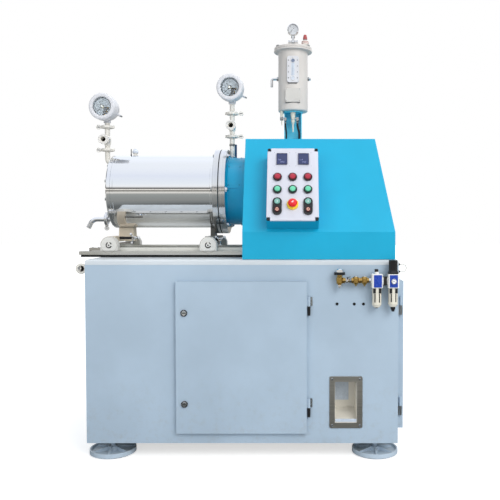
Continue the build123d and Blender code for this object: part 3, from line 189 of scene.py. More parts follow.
def frameSlab(outer, inner, low, high, finish, edge=0.8, steps=2):
    # A flat ring between two outlines with the same count of points, its four rims rounded
    outer, inner = np.asarray(outer, float), np.asarray(inner, float)
    a = np.linspace(0, pi / 2, steps + 1)
    rows = [(outer, edge * (1 - s), low + edge * (1 - c)) for s, c in zip(np.sin(a), np.cos(a))]
    rows += [(outer, edge * (1 - c), high - edge * (1 - s)) for s, c in zip(np.sin(a), np.cos(a))]
    rows += [(inner, -edge * (1 - c), high - edge * (1 - s)) for s,
             c in zip(np.sin(a)[::-1], np.cos(a)[::-1])]
    rows += [(inner, -edge * (1 - s), low + edge * (1 - c)) for s,
             c in zip(np.sin(a)[::-1], np.cos(a)[::-1])]
    points = np.concatenate([np.column_stack([inset(o, i), np.full(len(o), u)]) for o, i, u in rows])
    return welded(points, gridQuads(len(rows), len(outer), True, True), [], finish)


def swept(path, section, finish, across=(0, 0, 1), closed=False):
    # A section (side, up) carried along a path that lies square to `across`:
    # side = tangent x across, point = path + side * sideward + up * upward
    path, section = np.asarray(path, float), np.asarray(section, float)
    if not closed:
        path = path[np.r_[True, np.linalg.norm(np.diff(path, axis=0), axis=1) > 1e-4]]
        tangent = np.gradient(path, axis=0)
    else:
        path = distinct(path)
        tangent = np.roll(path, -1, 0) - np.roll(path, 1, 0)
    tangent /= np.linalg.norm(tangent, axis=1)[:, None]
    side = np.cross(tangent, np.broadcast_to(np.asarray(across, float), path.shape))
    side /= np.maximum(np.linalg.norm(side, axis=1), 1e-9)[:, None]
    up = np.cross(side, tangent)
    points = path[:, None] + side[:, None] * section[None, :, :1] + up[:, None] * section[None, :, 1:]
    n = len(section)
    caps = [] if closed else [np.arange(n), np.arange(n)[::-1] + (len(path) - 1) * n]
    return welded(points.reshape(-1, 3), gridQuads(len(path), n, closed, True), caps, finish)


def polar(radius, a):
    # Points (r cos a, r sin a)
    return np.column_stack([radius * np.cos(a), radius * np.sin(a)])


def circle(radius, sides=20, squash=1.0):
    return polar(radius, np.arange(sides) * 2 * pi / sides) * (1.0, squash)


def rect(x0, x1, y0, y1, radius=0.0, steps=4):
    corners = [(x0, y0), (x1, y0), (x1, y1), (x0, y1)]
    return rounded(corners, radius, steps) if radius else np.array(corners, float)


def hexagon(radius):
    return polar(radius, np.arange(6) * pi / 3)


aims = {
    "up": np.eye(3),
    "front": np.array([(1, 0, 0), (0, 0, -1), (0, 1, 0)], float),   # local Y up, local Z to the viewer
    "back": np.array([(-1, 0, 0), (0, 0, 1), (0, 1, 0)], float),
    "right": np.array([(0, 0, 1), (1, 0, 0), (0, 1, 0)], float),    # local Z to +X
    "left": np.array([(0, 0, -1), (-1, 0, 0), (0, 1, 0)], float),   # local Z to -X
}


def placed(forms, x=0.0, y=0.0, z=0.0, aim="up", spin=0.0, size=1.0):
    # Turned by spin degrees about the local Z, aimed, then moved
    s, c = sin(radians(spin)), cos(radians(spin))
    turn = np.array([(c, -s, 0), (s, c, 0), (0, 0, 1)], float)
    matrix = (aims[aim] if isinstance(aim, str) else np.asarray(aim, float)) @ turn * size
    return [(p @ matrix.T + (x, y, z), q, t, k, f) for p, q, t, k, f in forms]


def block(x0, x1, y0, y1, z0, z1, finish, edge=1.0, corner=0.0, steps=3):
    # A box with rounded rims, and upright corners rounded by corner
    outline = rect(x0, x1, y0, y1, max(corner, edge))
    return slab(outline, z0, z1, finish, edge, steps)


# Finishes

def nodeTree(name):
    material = bpy.data.materials.new(name)
    material.use_nodes = True
    tree = material.node_tree
    tree.nodes.clear()
    out = tree.nodes.new("ShaderNodeOutputMaterial")
    shader = tree.nodes.new("ShaderNodeBsdfPrincipled")
    tree.links.new(shader.outputs[0], out.inputs[0])
    return material, tree, shader


def effect(name, numbers, outs):
    # A node group with named number inputs, coordinates from its own Texture Coordinate node
    group = bpy.data.node_groups.new(name, "ShaderNodeTree")
    for key, value in numbers.items():
        socket = group.interface.new_socket(key, in_out="INPUT", socket_type="NodeSocketFloat")
        socket.default_value = value
    for key in outs:
        group.interface.new_socket(key, in_out="OUTPUT", socket_type="NodeSocketFloat")
    add = group.nodes.new
    return group, add, group.links.new, add("NodeGroupInput"), add("NodeGroupOutput")


def math(tree, kind, a, b=None, c=None, clamp=False):
    node = tree.nodes.new("ShaderNodeMath")
    node.operation, node.use_clamp = kind, clamp
    for i, value in enumerate((a, b, c)):
        if value is None:
            continue
        if isinstance(value, (int, float)):
            node.inputs[i].default_value = value
        else:
            tree.links.new(value, node.inputs[i])
    return node.outputs[0]


def spread(tree, value, low, high, outLow=0.0, outHigh=1.0):
    # A smooth step from low to high, put out as outLow to outHigh
    node = tree.nodes.new("ShaderNodeMapRange")
    node.interpolation_type = "SMOOTHSTEP"
    for i, given in enumerate((value, low, high, outLow, outHigh)):
        if isinstance(given, (int, float)):
            node.inputs[i].default_value = given
        else:
            tree.links.new(given, node.inputs[i])
    return node.outputs[0]


def noise(tree, vector, scale, detail=3.0, rough=0.55, stretch=None):
    node = tree.nodes.new("ShaderNodeTexNoise")
    node.inputs["Detail"].default_value, node.inputs["Roughness"].default_value = detail, rough
    if isinstance(scale, (int, float)):
        node.inputs["Scale"].default_value = scale
    else:
        tree.links.new(scale, node.inputs["Scale"])
    if stretch:
        mapping = tree.nodes.new("ShaderNodeMapping")
        mapping.inputs["Scale"].default_value = stretch
        tree.links.new(vector, mapping.inputs["Vector"])
        vector = mapping.outputs[0]
    tree.links.new(vector, node.inputs["Vector"])
    return node.outputs["Fac"]


def objectCoords(tree):
    return tree.nodes.new("ShaderNodeTexCoord").outputs["Object"]


def wornEdges():
    # Edges show where a bevelled normal leans away from the true one; noise breaks the line up
    group, add, link, into, out = effect("worn edges", {"Width": 0.0015, "Amount": 0.5, "Scale": 30.0},
                                         ["Mask"])
    bevel = add("ShaderNodeBevel")
    bevel.samples = 4
    link(into.outputs["Width"], bevel.inputs["Radius"])
    dot = add("ShaderNodeVectorMath")
    dot.operation = "DOT_PRODUCT"
    link(bevel.outputs[0], dot.inputs[0])
    link(add("ShaderNodeNewGeometry").outputs["Normal"], dot.inputs[1])
    lean = math(group, "SUBTRACT", 1.0, dot.outputs["Value"])
    grain = noise(group, objectCoords(group), into.outputs["Scale"], 5.0, 0.7)
    broken = spread(group, math(group, "MULTIPLY", lean, grain), 0.02, 0.12)
    link(math(group, "MULTIPLY", broken, into.outputs["Amount"], clamp=True), out.inputs["Mask"])
    return group


def settledDust():
    # Faces that look up gather dust, thicker in patches
    group, add, link, into, out = effect("settled dust", {"Amount": 0.3, "Scale": 9.0}, ["Mask"])
    split = add("ShaderNodeSeparateXYZ")
    link(add("ShaderNodeNewGeometry").outputs["Normal"], split.inputs[0])
    facing = spread(group, split.outputs["Z"], 0.35, 0.98)
    patches = spread(group, noise(group, objectCoords(group), into.outputs["Scale"], 6.0, 0.65), 0.3, 0.75)
    link(math(group, "MULTIPLY", math(group, "MULTIPLY", facing, patches), into.outputs["Amount"],
              clamp=True), out.inputs["Mask"])
    return group


def sprayedCoat():
    # Sprayed enamel: fine orange peel as height, broad clouds and low-down grime as masks
    group, add, link, into, out = effect("sprayed coat", {"Peel": 420.0, "Clouds": 2.2, "Grime": 0.5},
                                         ["Height", "Cloud", "Low"])
    coords = objectCoords(group)
    peel = noise(group, coords, into.outputs["Peel"], 2.0, 0.4)
    link(peel, out.inputs["Height"])
    link(noise(group, coords, into.outputs["Clouds"], 4.0, 0.6), out.inputs["Cloud"])
    split = add("ShaderNodeSeparateXYZ")
    link(coords, split.inputs[0])
    low = spread(group, split.outputs["Z"], 0.5, 0.02)
    specks = spread(group, noise(group, coords, 26.0, 7.0, 0.75), 0.45, 0.8)
    link(math(group, "MULTIPLY", math(group, "MULTIPLY", low, specks), into.outputs["Grime"], clamp=True),
         out.inputs["Low"])
    return group


def brushedGrain():
    # Fine parallel scratches: noise squeezed hard across the brushing direction
    group, add, link, into, out = effect("brushed grain",
                                         {"Across X": 30.0, "Across Y": 30.0, "Across Z": 900.0},
                                         ["Grain", "Streak"])
    join = add("ShaderNodeCombineXYZ")
    for i, key in enumerate(("Across X", "Across Y", "Across Z")):
        link(into.outputs[key], join.inputs[i])
    scaled = add("ShaderNodeVectorMath")
    scaled.operation = "MULTIPLY"
    link(objectCoords(group), scaled.inputs[0])
    link(join.outputs[0], scaled.inputs[1])
    link(noise(group, scaled.outputs[0], 1.0, 4.0, 0.7), out.inputs["Grain"])
    link(noise(group, scaled.outputs[0], 0.13, 3.0, 0.6), out.inputs["Streak"])
    return group


def handledMarks():
    # Smears and fine pits on moulded or polished pieces
    group, add, link, into, out = effect("handled marks", {"Scale": 18.0, "Pits": 700.0},
                                         ["Smear", "Height"])
    coords = objectCoords(group)
    link(noise(group, coords, into.outputs["Scale"], 6.0, 0.7), out.inputs["Smear"])
    link(noise(group, coords, into.outputs["Pits"], 2.0, 0.5), out.inputs["Height"])
    return group


edgeGroup, dustGroup, coatGroup, grainGroup, marksGroup = (wornEdges(), settledDust(), sprayedCoat(),
                                                           brushedGrain(), handledMarks())


def useGroup(tree, group, **values):
    node = tree.nodes.new("ShaderNodeGroup")
    node.node_tree = group
    for key, value in values.items():
        node.inputs[key.replace("_", " ")].default_value = value
    return node


def colourMix(tree, factor, a, b):
    node = tree.nodes.new("ShaderNodeMix")
    node.data_type = "RGBA"
    for socket, value in ((node.inputs[0], factor), (node.inputs[6], a), (node.inputs[7], b)):
        if isinstance(value, bpy.types.NodeSocket):
            tree.links.new(value, socket)
        elif isinstance(value, (int, float)):
            socket.default_value = value
        else:
            socket.default_value = (*value, 1.0)
    return node.outputs[2]


def ramped(tree, value, stops):
    ramp = tree.nodes.new("ShaderNodeValToRGB")
    while len(ramp.color_ramp.elements) < len(stops):
        ramp.color_ramp.elements.new(0.5)
    for element, (at, colour) in zip(ramp.color_ramp.elements, stops):
        element.position, element.color = at, (*colour, 1.0)
    tree.links.new(value, ramp.inputs[0])
    return ramp.outputs[0]


def mixedShader(tree, factor, a, b):
    node = tree.nodes.new("ShaderNodeMixShader")
    for socket, value in zip(node.inputs, (factor, a, b)):
        tree.links.new(value, socket)
    return node.outputs[0]


def bumpOn(tree, shader, height, strength, distance=0.0005):
    bump = tree.nodes.new("ShaderNodeBump")
    bump.inputs["Strength"].default_value, bump.inputs["Distance"].default_value = strength, distance
    tree.links.new(height, bump.inputs["Height"])
    tree.links.new(bump.outputs[0], shader.inputs["Normal"])


def shade(rgb):
    # An sRGB colour of 0 to 255 as linear light
    c = np.asarray(rgb, float) / 255.0
    return tuple(np.where(c <= 0.04045, c / 12.92, ((c + 0.055) / 1.055) ** 2.4).tolist())


def paint(name, colour, worn, dust=(150, 148, 142), rough=0.38, coat=0.25, peel=420.0, peelDepth=0.12,
          wear=0.35, dusty=0.2, grime=0.4, edge=0.0015):
    # Sprayed enamel with clouds, dust on top faces, grime near the floor and rubbed edges
    material, tree, shader = nodeTree(name)
    tint = np.array(shade(colour))
    skin = useGroup(tree, coatGroup, Peel=peel, Grime=grime)
    cloud = colourMix(tree, spread(tree, skin.outputs["Cloud"], 0.3, 0.7), tuple(tint * 0.94),
                      tuple(tint * 1.05))
    low = colourMix(tree, skin.outputs["Low"], cloud, shade(dust))
    dustMask = useGroup(tree, dustGroup, Amount=dusty).outputs["Mask"]
    dusted = colourMix(tree, dustMask, low, shade(dust))
    edgeMask = useGroup(tree, edgeGroup, Width=edge, Amount=wear).outputs["Mask"]
    tree.links.new(colourMix(tree, edgeMask, dusted, shade(worn)), shader.inputs["Base Color"])
    roughness = spread(tree, skin.outputs["Cloud"], 0.25, 0.75, rough - 0.05, rough + 0.06)
    tree.links.new(math(tree, "MULTIPLY_ADD", dustMask, 0.3, roughness), shader.inputs["Roughness"])
    shader.inputs["Coat Weight"].default_value = coat
    shader.inputs["Coat Roughness"].default_value = 0.12
    bumpOn(tree, shader, skin.outputs["Height"], peelDepth, 0.0004)
    return material


def steel(name, colour, rough=0.2, across=(40.0, 40.0, 900.0), streaks=0.08, grainDepth=0.08, wear=0.3,
          smear=0.05,
          metal=1.0):
    # Stainless: scratches along one direction roughen it in streaks, handling smears it
    material, tree, shader = nodeTree(name)
    base = np.array(shade(colour))
    grain = useGroup(tree, grainGroup, Across_X=across[0], Across_Y=across[1], Across_Z=across[2])
    marks = useGroup(tree, marksGroup, Scale=14.0)
    tone = colourMix(tree, spread(tree, grain.outputs["Streak"], 0.3, 0.7), tuple(base * (1 - streaks)),
                     tuple(base * (1 + streaks / 2)))
    edgeMask = useGroup(tree, edgeGroup, Width=0.001, Amount=wear).outputs["Mask"]
    tree.links.new(colourMix(tree, edgeMask, tone, tuple(np.minimum(base * 1.25, 1.0))),
                   shader.inputs["Base Color"])
    shader.inputs["Metallic"].default_value = metal
    streaky = spread(tree, grain.outputs["Grain"], 0.25, 0.75, max(rough - streaks, 0.03), rough + streaks)
    tree.links.new(math(tree, "MULTIPLY_ADD", spread(tree, marks.outputs["Smear"], 0.45, 0.8), smear,
                        streaky), shader.inputs["Roughness"])
    bumpOn(tree, shader, grain.outputs["Grain"], grainDepth, 0.0002)
    return material


def moulded(name, colour, rough=0.35, pits=0.1, wear=0.25, dusty=0.12, coat=0.0):
    # Moulded plastic or rubber: fine pits, smears that change the sheen, pale rubbed edges, a little dust
    material, tree, shader = nodeTree(name)
    base = np.array(shade(colour))
    marks = useGroup(tree, marksGroup)
    tone = colourMix(tree, spread(tree, marks.outputs["Smear"], 0.3, 0.75), tuple(base * 0.93),
                     tuple(np.minimum(base * 1.06 + 0.003, 1.0)))
    dusted = colourMix(tree, useGroup(tree, dustGroup, Amount=dusty, Scale=20.0).outputs["Mask"], tone,
                       shade((170, 168, 162)))
    edgeMask = useGroup(tree, edgeGroup, Width=0.0008, Amount=wear, Scale=60.0).outputs["Mask"]
    tree.links.new(colourMix(tree, edgeMask, dusted, tuple(np.minimum(base * 1.5 + 0.05, 1.0))),
                   shader.inputs["Base Color"])
    tree.links.new(spread(tree, marks.outputs["Smear"], 0.3, 0.8, rough - 0.06, rough + 0.1),
                   shader.inputs["Roughness"])
    shader.inputs["Coat Weight"].default_value = coat
    bumpOn(tree, shader, marks.outputs["Height"], pits, 0.0003)
    return material


def clearGlass(name, tint, rough=0.03):
    material, tree, shader = nodeTree(name)
    marks = useGroup(tree, marksGroup, Scale=9.0)
    tree.links.new(colourMix(tree, marks.outputs["Smear"], shade(tint), (1.0, 1.0, 1.0)),
                   shader.inputs["Base Color"])
    tree.links.new(spread(tree, marks.outputs["Smear"], 0.3, 0.8, rough, rough + 0.06),
                   shader.inputs["Roughness"])
    shader.inputs["Transmission Weight"].default_value = 1.0
    shader.inputs["IOR"].default_value = 1.45
    return material


finishes = {
    "cabinetPaint": paint("cabinet enamel", (170, 189, 206), (208, 219, 228), rough=0.42, coat=0.1,
                          wear=0.45),
    "hoodPaint": paint("hood enamel", (0, 166, 206), (110, 204, 228), rough=0.38, coat=0.08, wear=0.35,
                       dusty=0.12,
                       grime=0.0),
    # Much lighter than the hood enamel: painted light for the glow the bright hood throws onto the column
    "columnLitPaint": paint("column enamel with painted light", (104, 218, 242), (180, 232, 246), rough=0.36, coat=0.1,
                         grime=0.0),
    # A little lighter than the hood enamel: painted light against the shade the hood throws on the neck
    "neckLitPaint": paint("neck enamel with painted light", (0, 170, 214), (90, 190, 220), rough=0.34, coat=0.1, wear=0.3,
                       dusty=0.1,
                       grime=0.0),
    "lidPaint": paint("lid enamel", (206, 208, 220), (246, 247, 252), rough=0.45, coat=0.05, wear=0.25,
                      grime=0.0),
    "coverPaint": paint("roller cover enamel", (222, 221, 216), (244, 243, 240), rough=0.35, coat=0.15,
                        grime=0.0),
    "frameSteel": paint("frame primer", (200, 196, 188), (235, 232, 228), rough=0.5, coat=0.0, dusty=0.35,
                        grime=0.2),
    "motorPaint": paint("motor enamel", (84, 100, 116), (150, 158, 165), rough=0.55, coat=0.0, peel=160.0,
                        peelDepth=0.4, dusty=0.4),
    "gaugeEnamel": paint("gauge case enamel", (216, 217, 222), (244, 244, 246), rough=0.36, coat=0.2,
                         grime=0.0),
    "potEnamel": paint("pot enamel", (212, 208, 204), (238, 236, 232), rough=0.4, coat=0.12, grime=0.0),
    "unitPlastic": moulded("air unit plastic", (236, 236, 234), 0.3, coat=0.1),
    "unitBlue": moulded("air unit blue insert", (18, 62, 168), 0.28, coat=0.15),
    "bowlPlastic": moulded("air unit bowl", (224, 220, 206), 0.22, coat=0.2),
    "polished": steel("polished stainless", (238, 239, 241), 0.05, (12.0, 500.0, 500.0), 0.005, 0.002,
                      smear=0.02),
    "satinSteel": steel("satin stainless", (244, 241, 234), 0.24, (30.0, 30.0, 500.0), 0.03, 0.015,
                        metal=0.3),
    "turnedSteel": steel("turned stainless", (226, 227, 229), 0.13, (900.0, 12.0, 12.0), 0.05, 0.04),
    "brushed": steel("brushed stainless", (204, 200, 192), 0.36, (14.0, 14.0, 900.0), 0.1, 0.12),
    "railSteel": steel("ground rail steel", (226, 225, 220), 0.34, (10.0, 700.0, 700.0), 0.1, 0.1),
    "bearingSteel": steel("ground bearing steel", (170, 170, 172), 0.22, (700.0, 20.0, 20.0), 0.08, 0.06),
    "rotorSteel": steel("hardened rotor steel", (140, 138, 136), 0.34, (300.0, 40.0, 40.0), 0.1, 0.1),
    "castIron": steel("machined cast iron", (96, 96, 98), 0.45, (300.0, 60.0, 60.0), 0.12, 0.2),
    "zinc": steel("zinc-plated steel", (168, 171, 172), 0.34, (60.0, 60.0, 60.0), 0.12, 0.1, smear=0.15),
    "chrome": steel("bright plating", (232, 233, 235), 0.06, (60.0, 60.0, 60.0), 0.03, 0.01, smear=0.06),
    "brass": steel("manifold brass", (206, 168, 96), 0.26, (120.0, 30.0, 120.0), 0.1, 0.06, smear=0.15),
    "blackPlastic": moulded("black plastic", (26, 26, 28), 0.38, wear=0.3),
    "blackGloss": moulded("gloss black plastic", (16, 16, 20), 0.16, coat=0.3),
    "screenBlue": moulded("display window", (44, 54, 98), 0.2, coat=0.4, dusty=0.03),
    "screenCase": moulded("display case", (38, 44, 84), 0.3, coat=0.2, dusty=0.03),
    "digitPale": moulded("display digits", (150, 156, 206), 0.4, dusty=0.0),
    # Lamp rims: darker copies of the lens colours, painted shade round the foot of each dome
    "redRing": moulded("red lamp rim, painted shade", (96, 8, 26), 0.2, coat=0.3),
    "greenRing": moulded("green lamp rim, painted shade", (22, 74, 62), 0.2, coat=0.3),
    "redLens": moulded("red lamp lens", (170, 16, 48), 0.14, coat=0.6, pits=0.03),
    "greenLens": moulded("green lamp lens", (104, 206, 168), 0.14, coat=0.6, pits=0.03),
    "greenCap": moulded("green button cap", (118, 172, 162), 0.36),
    "redCap": moulded("red button cap", (84, 26, 38), 0.34),
    "stopRed": moulded("stop button red", (224, 30, 36), 0.3, coat=0.15),
    "stopYellow": moulded("stop collar yellow", (255, 214, 60), 0.35),
    "padRubber": moulded("pad rubber", (30, 30, 31), 0.75, pits=0.5),
    "beltRubber": moulded("belt rubber", (26, 26, 27), 0.7, pits=0.6),
    "hoseRubber": moulded("hose rubber", (24, 25, 27), 0.5, pits=0.3),
    "hoseWhite": moulded("white hose", (232, 231, 226), 0.35, pits=0.1),
    # Black rubber for gaskets, also used for the painted shade in the front door's gap
    "gasketRubber": moulded("gasket rubber and painted gap shade", (22, 22, 24), 0.6),
    "dialWhite": moulded("dial face", (244, 244, 252), 0.5, pits=0.02, dusty=0.0),
    "dialInk": moulded("dial ink", (24, 24, 30), 0.5, pits=0.0, dusty=0.0, wear=0.0),
    "needle": moulded("needle lacquer", (20, 20, 22), 0.3, dusty=0.0),
    "hubCream": moulded("gauge hub", (236, 228, 198), 0.4, dusty=0.0),
    "capRed": moulded("safety cap lacquer", (172, 84, 84), 0.36),
    "glass": clearGlass("gauge glass", (238, 244, 246)),
    "recessPaint": paint("recess enamel", (222, 218, 208), (238, 236, 232), rough=0.5, coat=0.05,
                         grime=0.0),
    # Lighter than the cabinet enamel: painted highlight for the top plate's front edge catching the light
    # from above
    "deckLitPaint": paint("deck enamel with painted highlight", (206, 213, 219), (234, 238, 242), rough=0.4, coat=0.15,
                       wear=0.6, dusty=0.25),
    "footPaint": paint("foot enamel", (186, 203, 218), (220, 228, 236), rough=0.45, coat=0.1, wear=0.5,
                       grime=0.25),
    "windowBand": moulded("window light band", (196, 208, 222), 0.3, dusty=0.05),
    "boxPaint": paint("control box enamel", (0, 150, 190), (80, 190, 220), rough=0.34, coat=0.25,
                      grime=0.0),
    "markOrange": moulded("button mark", (240, 190, 168), 0.4, dusty=0.0),
    "sightPale": moulded("level tube", (206, 214, 226), 0.2, coat=0.4, dusty=0.0),
    "sightBlue": moulded("sight window blue grey", (112, 126, 150), 0.2, coat=0.4, dusty=0.03),
    # Dark taupe bands below the sight glass and the blank plate: painted shadow of their undersides
    "plateShade": moulded("painted shadow under plates", (112, 108, 104), 0.6, dusty=0.0),
    "platePaint": paint("blank plate lacquer", (206, 204, 200), (250, 250, 248), rough=0.3, coat=0.2,
                        grime=0.0),
    "legPaint": paint("carriage enamel", (214, 202, 182), (240, 234, 224), rough=0.45, coat=0.08,
                      grime=0.0),
    # Dark grey copy of the carriage enamel: painted shade on the right-hand leg
    "legShade": paint("right leg enamel, painted shade", (108, 108, 103), (150, 150, 146), rough=0.5, coat=0.0, grime=0.0),
    "strapPaint": paint("strap enamel", (10, 72, 116), (70, 130, 165), rough=0.4, coat=0.1, grime=0.0),
    # Blue-grey ring at the dial's edge: painted shade of the bezel's inner wall
    "gaugeRim": moulded("dial rim painted shade", (146, 160, 171), 0.4, dusty=0.0),
    "dialTint": moulded("contact dial", (206, 216, 226), 0.45, pits=0.02, dusty=0.0),
    "trayWhite": steel("tray stainless", (236, 236, 230), 0.3, (12.0, 300.0, 300.0), 0.04, 0.03,
                       metal=0.35),
    # Black for bars that stand in for shade in gaps: painted shadow
    "stripBlack": moulded("painted shadow black", (20, 21, 22), 0.5, dusty=0.0),
    "coverSeam": moulded("cover seam", (150, 142, 132), 0.5),
    "knobWhite": moulded("knob ball", (226, 228, 232), 0.22, coat=0.2),
    # Black for dark parts, and for discs and bars in holes, slots and sockets that stand in for their shade
    "black": moulded("black parts and painted hole shade", (8, 8, 9), 0.7, dusty=0.05),
}
slotOf = {
    "cabinetPaint": "cabinet_paint", "hoodPaint": "hood_paint", "neckLitPaint": "hood_paint",
    "lidPaint": "lid_paint",
    "deckLitPaint": "cabinet_paint", "footPaint": "cabinet_paint", "boxPaint": "hood_paint",
    "recessPaint": "brushed_stainless", "coverPaint": "cover_paint", "frameSteel": "frame_steel",
    "motorPaint": "motor_casting",
    "gaugeEnamel": "gauge_enamel", "potEnamel": "pot_enamel", "unitPlastic": "unit_plastic",
    "brass": "manifold_brass",
    "polished": "polished_stainless", "brushed": "brushed_stainless", "blackPlastic": "black_plastic",
}
print("finishes:", len(finishes))


# Pieces

def makePiece(name, body, forms, replaced=(), slot=None, sharp=32.0):
    # One mesh from many closed forms; every form keeps its own finish
    used = list(dict.fromkeys(form[4] for form in forms))
    points, loops, sizes, picks, offset = [], [], [], [], 0
    for p, quads, tris, caps, finish in forms:
        points.append(p)
        rings = [quads.reshape(-1) + offset, tris.reshape(-1) + offset] + [cap + offset for cap in caps]
        counts = [4] * len(quads) + [3] * len(tris) + [len(cap) for cap in caps]
        loops += rings
        sizes += counts
        picks += [used.index(finish)] * len(counts)
        offset += len(p)
    points, loops, sizes = toRow(np.concatenate(points)), np.concatenate(loops), np.array(sizes)
    mesh = bpy.data.meshes.new(name)
    mesh.vertices.add(len(points))
    mesh.vertices.foreach_set("co", points.astype(np.float32).reshape(-1))
    mesh.loops.add(len(loops))
    mesh.loops.foreach_set("vertex_index", loops.astype(np.int32))
    mesh.polygons.add(len(sizes))
    mesh.polygons.foreach_set("loop_start", np.concatenate([[0], np.cumsum(sizes)[:-1]]).astype(np.int32))
    mesh.polygons.foreach_set("material_index", np.array(picks, np.int32))
    mesh.update(calc_edges=True)
    mesh.validate()
    mesh.polygons.foreach_set("use_smooth", np.ones(len(mesh.polygons), bool))
    mesh.set_sharp_from_angle(angle=radians(sharp))
    for finish in used:
        mesh.materials.append(finishes[finish])
    piece = bpy.data.objects.new(name, mesh)
    scene.collection.objects.link(piece)
    evenNormals(piece)
    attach(piece, body)
    if slot or used[0] in slotOf:
        slot or slotOf[used[0]]
    if replaced:
        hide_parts(*replaced)
    return piece


def evenNormals(piece):
    # Big flat faces keep their shading flat beside rounded rims
    lean = piece.modifiers.new("even normals", "WEIGHTED_NORMAL")
    lean.mode, lean.weight, lean.keep_sharp = "FACE_AREA", 60, True


def softened(node, finish, width=0.8, steps=2, limit=28.0, second=None, beyond=0.0):
    # A merged copy of a CAD node with every hard edge rounded by width;
    # past x = beyond it takes the second finish
    source = frame["nodes"][node]
    mesh = source.data.copy()
    mesh.name = node + "_soft"
    work = bmesh.new()
    work.from_mesh(mesh)
    bmesh.ops.remove_doubles(work, verts=work.verts, dist=2e-6)
    bmesh.ops.dissolve_limit(work, angle_limit=radians(0.4), verts=work.verts, edges=work.edges)
    work.to_mesh(mesh)
    work.free()
    mesh.materials.clear()
    for name in (finish, second or finish):
        mesh.materials.append(finishes[name])
    middles = np.empty(len(mesh.polygons) * 3, np.float32)
    mesh.polygons.foreach_get("center", middles)
    picks = (middles[::3] > beyond / 1000) if second else np.zeros(len(mesh.polygons))
    mesh.polygons.foreach_set("material_index", picks.astype(np.int32))
    mesh.polygons.foreach_set("use_smooth", np.ones(len(mesh.polygons), bool))
    mesh.set_sharp_from_angle(angle=radians(limit))
    piece = bpy.data.objects.new(node + "_soft", mesh)
    scene.collection.objects.link(piece)
    bevel = piece.modifiers.new("rounded edges", "BEVEL")
    bevel.width, bevel.segments, bevel.limit_method = width / 1000, steps, "ANGLE"
    bevel.angle_limit, bevel.harden_normals = radians(limit), False
    bevel.miter_outer = "MITER_ARC"
    evenNormals(piece)
    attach(piece, source["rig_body"])
    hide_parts(node)
    return piece


def dressed(node, finish):
    # The CAD node stays and takes a finish
    data = frame["nodes"][node].data
    data.materials.clear()
    data.materials.append(finishes[finish])


plain = {
    "frameSteel": ("cabinet_frame", "carriage_frame"), "padRubber": ("foot_pads",),
    "zinc": ("hinge_halves", "flange_bolts"), "neckLitPaint": ("bearing_housing", "inspection_cover"),
    "bearingSteel": ("spindle_bearings", "left_roller_axle", "right_roller_axle"),
    "rotorSteel": ("pin_rotor", "grinding_cylinder"), "castIron": ("motor_pulley",),
    "beltRubber": ("drive_belts",), "motorPaint": ("drive_motor",),
    "cabinetPaint": ("cabinet_top_plate", "cabinet_front_panel", "cabinet_side_panels", "levelling_feet",
                     "front_door", "side_door"),
    "chrome": ("lock_lower", "lock_upper"), "brushed": ("window_frame",),
    "hoodPaint": ("hood_shell", "control_box", "pot_column"),
    "turnedSteel": ("housing_flange", "end_cover"),
    "polished": ("chamber_jacket", "drip_tray", "inlet_stem", "outlet_stem", "product_spout",
                 "pot_fittings", "hose_port"),
    "railSteel": ("guide_rails",), "coverPaint": ("roller_covers",),
    "blackPlastic": ("clamp_lever", "button_stations", "regulator_knob", "manifold_knob"),
    "gaugeEnamel": ("left_gauge_case", "right_gauge_case"),
    "needle": ("left_gauge_needle", "right_gauge_needle", "pot_needle"), "lidPaint": ("control_lid",),
    "blackGloss": ("panel_displays",), "redLens": ("indicator_lamps",),
    "greenCap": ("start_button_left", "start_button_right"),
    "redCap": ("stop_button_left", "stop_button_right"), "stopRed": ("estop_button",),
    "potEnamel": ("pot_body", "pot_lid"), "hoseRubber": ("pot_hoses",), "unitPlastic": ("air_unit",),
    "brass": ("air_manifold",),
}
for finish, nodes in plain.items():
    for node in nodes:
        dressed(node, finish)
print("CAD nodes dressed:", sum(map(len, plain.values())), "of", len(frame["nodes"]))


# Studio

studio = {
    "camera": (0.2889, -3.2412, 1.041), "tilt": 87.8, "lens": 46.44, "shiftX": -0.094,
    "floorReach": 30.0, "skyGlow": 0.66, "flagDepth": 0.8, "floorGlow": 0.6,
    # Each lamp: place, aim, size, power and colour
    "lamps": {
        "key": ((2.4, -3.8, 3.4), (0.0, 0.0, 0.9), (2.6, 2.6), 122.0, (1.0, 0.985, 0.96)),
        "fill": ((-2.6, -3.8, 2.6), (-0.1, 0.0, 0.9), (2.4, 2.4), 40.0, (0.94, 0.97, 1.0)),
        "top": ((0.1, 0.2, 4.4), (0.1, 0.1, 0.9), (3.0, 2.0), 40.0, (1.0, 1.0, 1.0)),
    },
}


def buildCamera():
    data = bpy.data.cameras.new("camera")
    data.sensor_width, data.lens, data.shift_x = 36.0, studio["lens"], studio["shiftX"]
    camera = bpy.data.objects.new("camera", data)
    camera.location = studio["camera"]
    camera.rotation_euler = (radians(studio["tilt"]), 0.0, 0.0)
    scene.collection.objects.link(camera)
    scene.camera = camera


def softLamp(name, place, aim, size, power, colour):
    data = bpy.data.lights.new(name, "AREA")
    data.shape, data.size, data.size_y = "RECTANGLE", size[0], size[1]
    data.energy, data.color = power, colour
    lamp = bpy.data.objects.new(name, data)
    scene.collection.objects.link(lamp)
    lamp.location = place
    lamp.visible_glossy = False
    direction = np.array(aim, float) - np.array(place, float)
    lamp.rotation_euler = Vector(direction).to_track_quat("-Z", "Y").to_euler()
    return lamp


